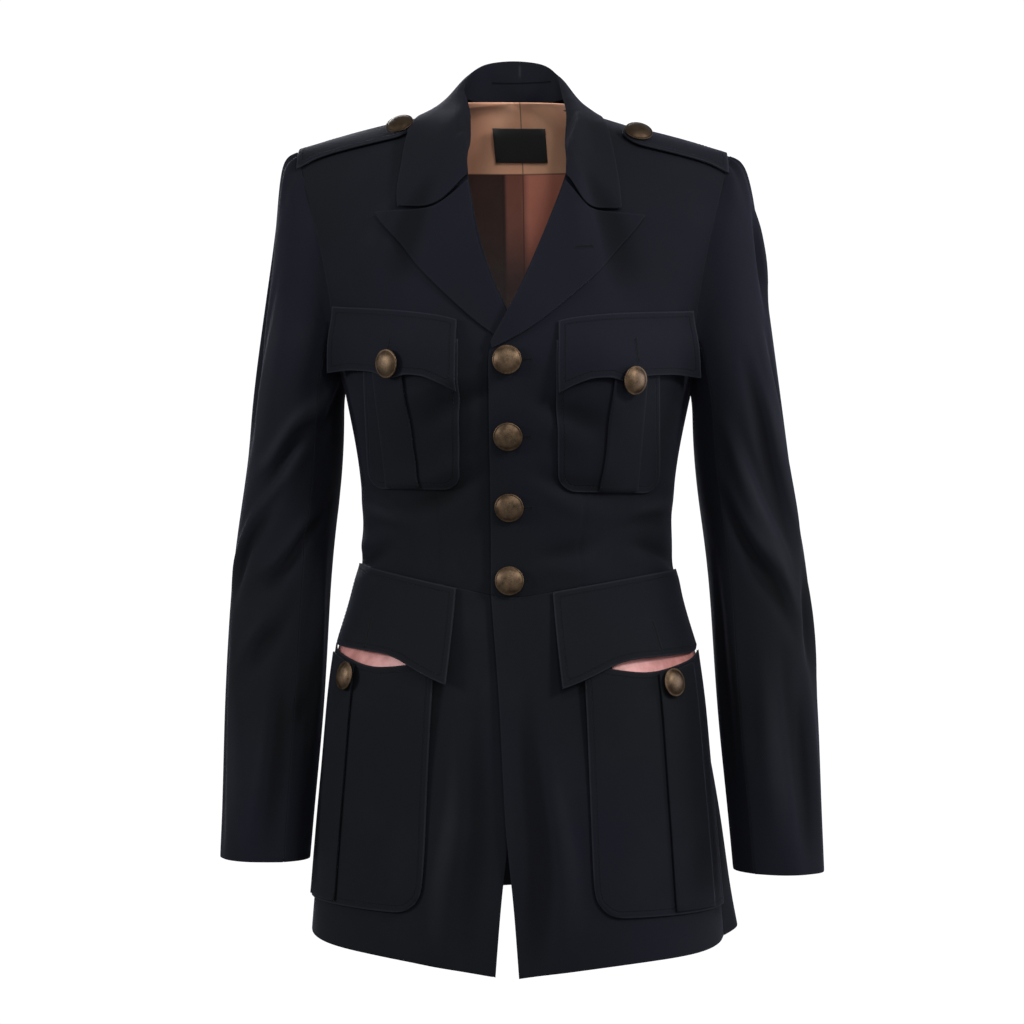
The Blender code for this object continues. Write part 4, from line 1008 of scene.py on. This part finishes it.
def area_light(name, at, target, size, power, colour=(1.0, 1.0, 1.0)):
    lamp = bpy.data.lights.new(name, "AREA")
    lamp.shape, lamp.size, lamp.energy, lamp.color = "SQUARE", size, power, colour
    aim(linked(name, lamp), at, target)


ROOM_LIGHT, ROOM_SEEN = 0.36, 1.05  # how bright the white room is to the cloth, and to the camera


def light_stage():
    """A white room: the camera sees it white, as the cut-out's ground, and it lights the cloth softly."""
    world = bpy.data.worlds.new("studio")
    world.use_nodes = True
    tree = world.node_tree
    ground = tree.nodes["Background"]
    path, level = tree.nodes.new("ShaderNodeLightPath"), tree.nodes.new("ShaderNodeMapRange")
    level.inputs["To Min"].default_value, level.inputs["To Max"].default_value = ROOM_LIGHT, ROOM_SEEN
    tree.links.new(path.outputs["Is Camera Ray"], level.inputs["Value"])
    tree.links.new(level.outputs["Result"], ground.inputs["Strength"])
    ground.inputs["Color"].default_value = (1.0, 1.0, 1.0, 1.0)
    bpy.context.scene.world = world
    bpy.context.scene.view_settings.view_transform = "Standard"
    area_light("key", (1.9, -1.3, 0.9), (0.05, 0, -0.30), 0.5, 37, (1.0, 0.99, 0.98))
    area_light("fill", (-2.2, -1.0, 0.3), (-0.05, 0, -0.35), 0.6, 30, (0.95, 0.97, 1.0))
    area_light("front", (0.2, -2.2, 0.5), (0, 0, -0.25), 1.2, 9)
    area_light("side", (2.3, 0.4, -0.1), (0.15, 0, -0.30), 0.9, 24, (0.84, 0.87, 1.0))
    area_light("back", (-0.8, 2.2, 0.9), (0, 0.05, -0.30), 1.2, 40)
    area_light("neck", (0.25, -0.9, 0.55), (0.0, 0.06, -0.08), 0.10, 2.8)


# ------------------------------------------------------------------------------------------ the buttons
# The outline of a button from its shank round its rim to its top, in millimetres. dome is how much of the
# dome's wear each ring takes.
Profile = namedtuple("Profile", "radius height dome")
BUTTON = (
    Profile(0.0, -0.2, 0.0),
    Profile(2.4, -0.2, 0.0),
    Profile(2.4, 1.6, 0.0),
    Profile(10.6, 1.9, 0.0),
    Profile(11.5, 2.15, 0.05),
    Profile(11.9, 2.6, 0.15),
    Profile(11.8, 3.05, 0.30),
    Profile(11.2, 3.35, 0.25),
    Profile(10.7, 3.25, 0.05),
    Profile(10.3, 3.45, 0.30),
    Profile(9.2, 4.35, 0.60),
    Profile(7.6, 5.25, 0.80),
    Profile(5.6, 5.95, 0.95),
    Profile(3.4, 6.35, 1.0),
    Profile(1.5, 6.5, 1.0),
    Profile(0.0, 6.52, 1.0),
)
BUTTON_SIDES = 48
BUTTON_LEAN = 0.15  # a button faces away from a place this far below it on the body's middle line


def button_pose(node):
    """A button's seat, and the way it faces, from its solid."""
    points = points_of(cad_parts[node].data)
    middle = points.mean(0)
    way = np.linalg.svd(points - middle, full_matrices=False)[2][2]
    if way @ (middle - np.array([0.0, 0.0, middle[2] - BUTTON_LEAN])) < 0:
        way = -way
    return middle + way * ((points - middle) @ way).min(), way


def turned_button():
    """A button's shape round its own axis, seated at the origin, with its wear kept on each point."""
    shape = bmesh.new()
    mark = shape.verts.layers.float.new("dome")
    rings = []
    for row in BUTTON:
        radius, height = row.radius * MM, row.height * MM
        turns = [2 * math.pi * k / BUTTON_SIDES for k in range(BUTTON_SIDES)] if radius else [0.0]
        spots = [(radius * math.cos(turn), radius * math.sin(turn), height) for turn in turns]
        ring = [shape.verts.new(spot) for spot in spots]
        for vert in ring:
            vert[mark] = row.dome
        rings.append(ring)
    for low, high in zip(rings, rings[1:]):
        for k in range(BUTTON_SIDES):
            n = (k + 1) % BUTTON_SIDES
            if len(low) == 1:
                shape.faces.new((low[0], high[n], high[k]))
            elif len(high) == 1:
                shape.faces.new((low[k], low[n], high[0]))
            else:
                shape.faces.new((low[k], low[n], high[n], high[k]))
    return shape


def make_button(node):
    """A brass button on its solid's place, which follows the cloth's folds under it."""
    seat, way = button_pose(node)
    shape = turned_button()
    turned = Vector(way).to_track_quat("Z", "Y").to_matrix().to_4x4()
    shape.transform(Matrix.Translation(Vector(seat)) @ turned)
    mesh = bpy.data.meshes.new(node + "_metal")
    shape.to_mesh(mesh)
    shape.free()
    points = points_of(mesh)
    mesh.vertices.foreach_set("co", (points + body_field(np.array([seat]))[0]).ravel())
    mesh.shade_smooth()
    # the shoulder buttons take the brass darkened as painted shade
    mesh.materials.append(FINISHES["dark_brass" if "shoulder" in node else "brass"])
    made = linked(node + "_metal", mesh)
    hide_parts(node)
    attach(made, "root")


# ----------------------------------------------------------------------------------------- the whole
for panel in PANELS:
    make_panel(panel)
for hole in HOLES:
    make_hole(hole)
for node in sorted(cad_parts):
    if node.startswith("button_"):
        make_button(node)
make_camera()
light_stage()
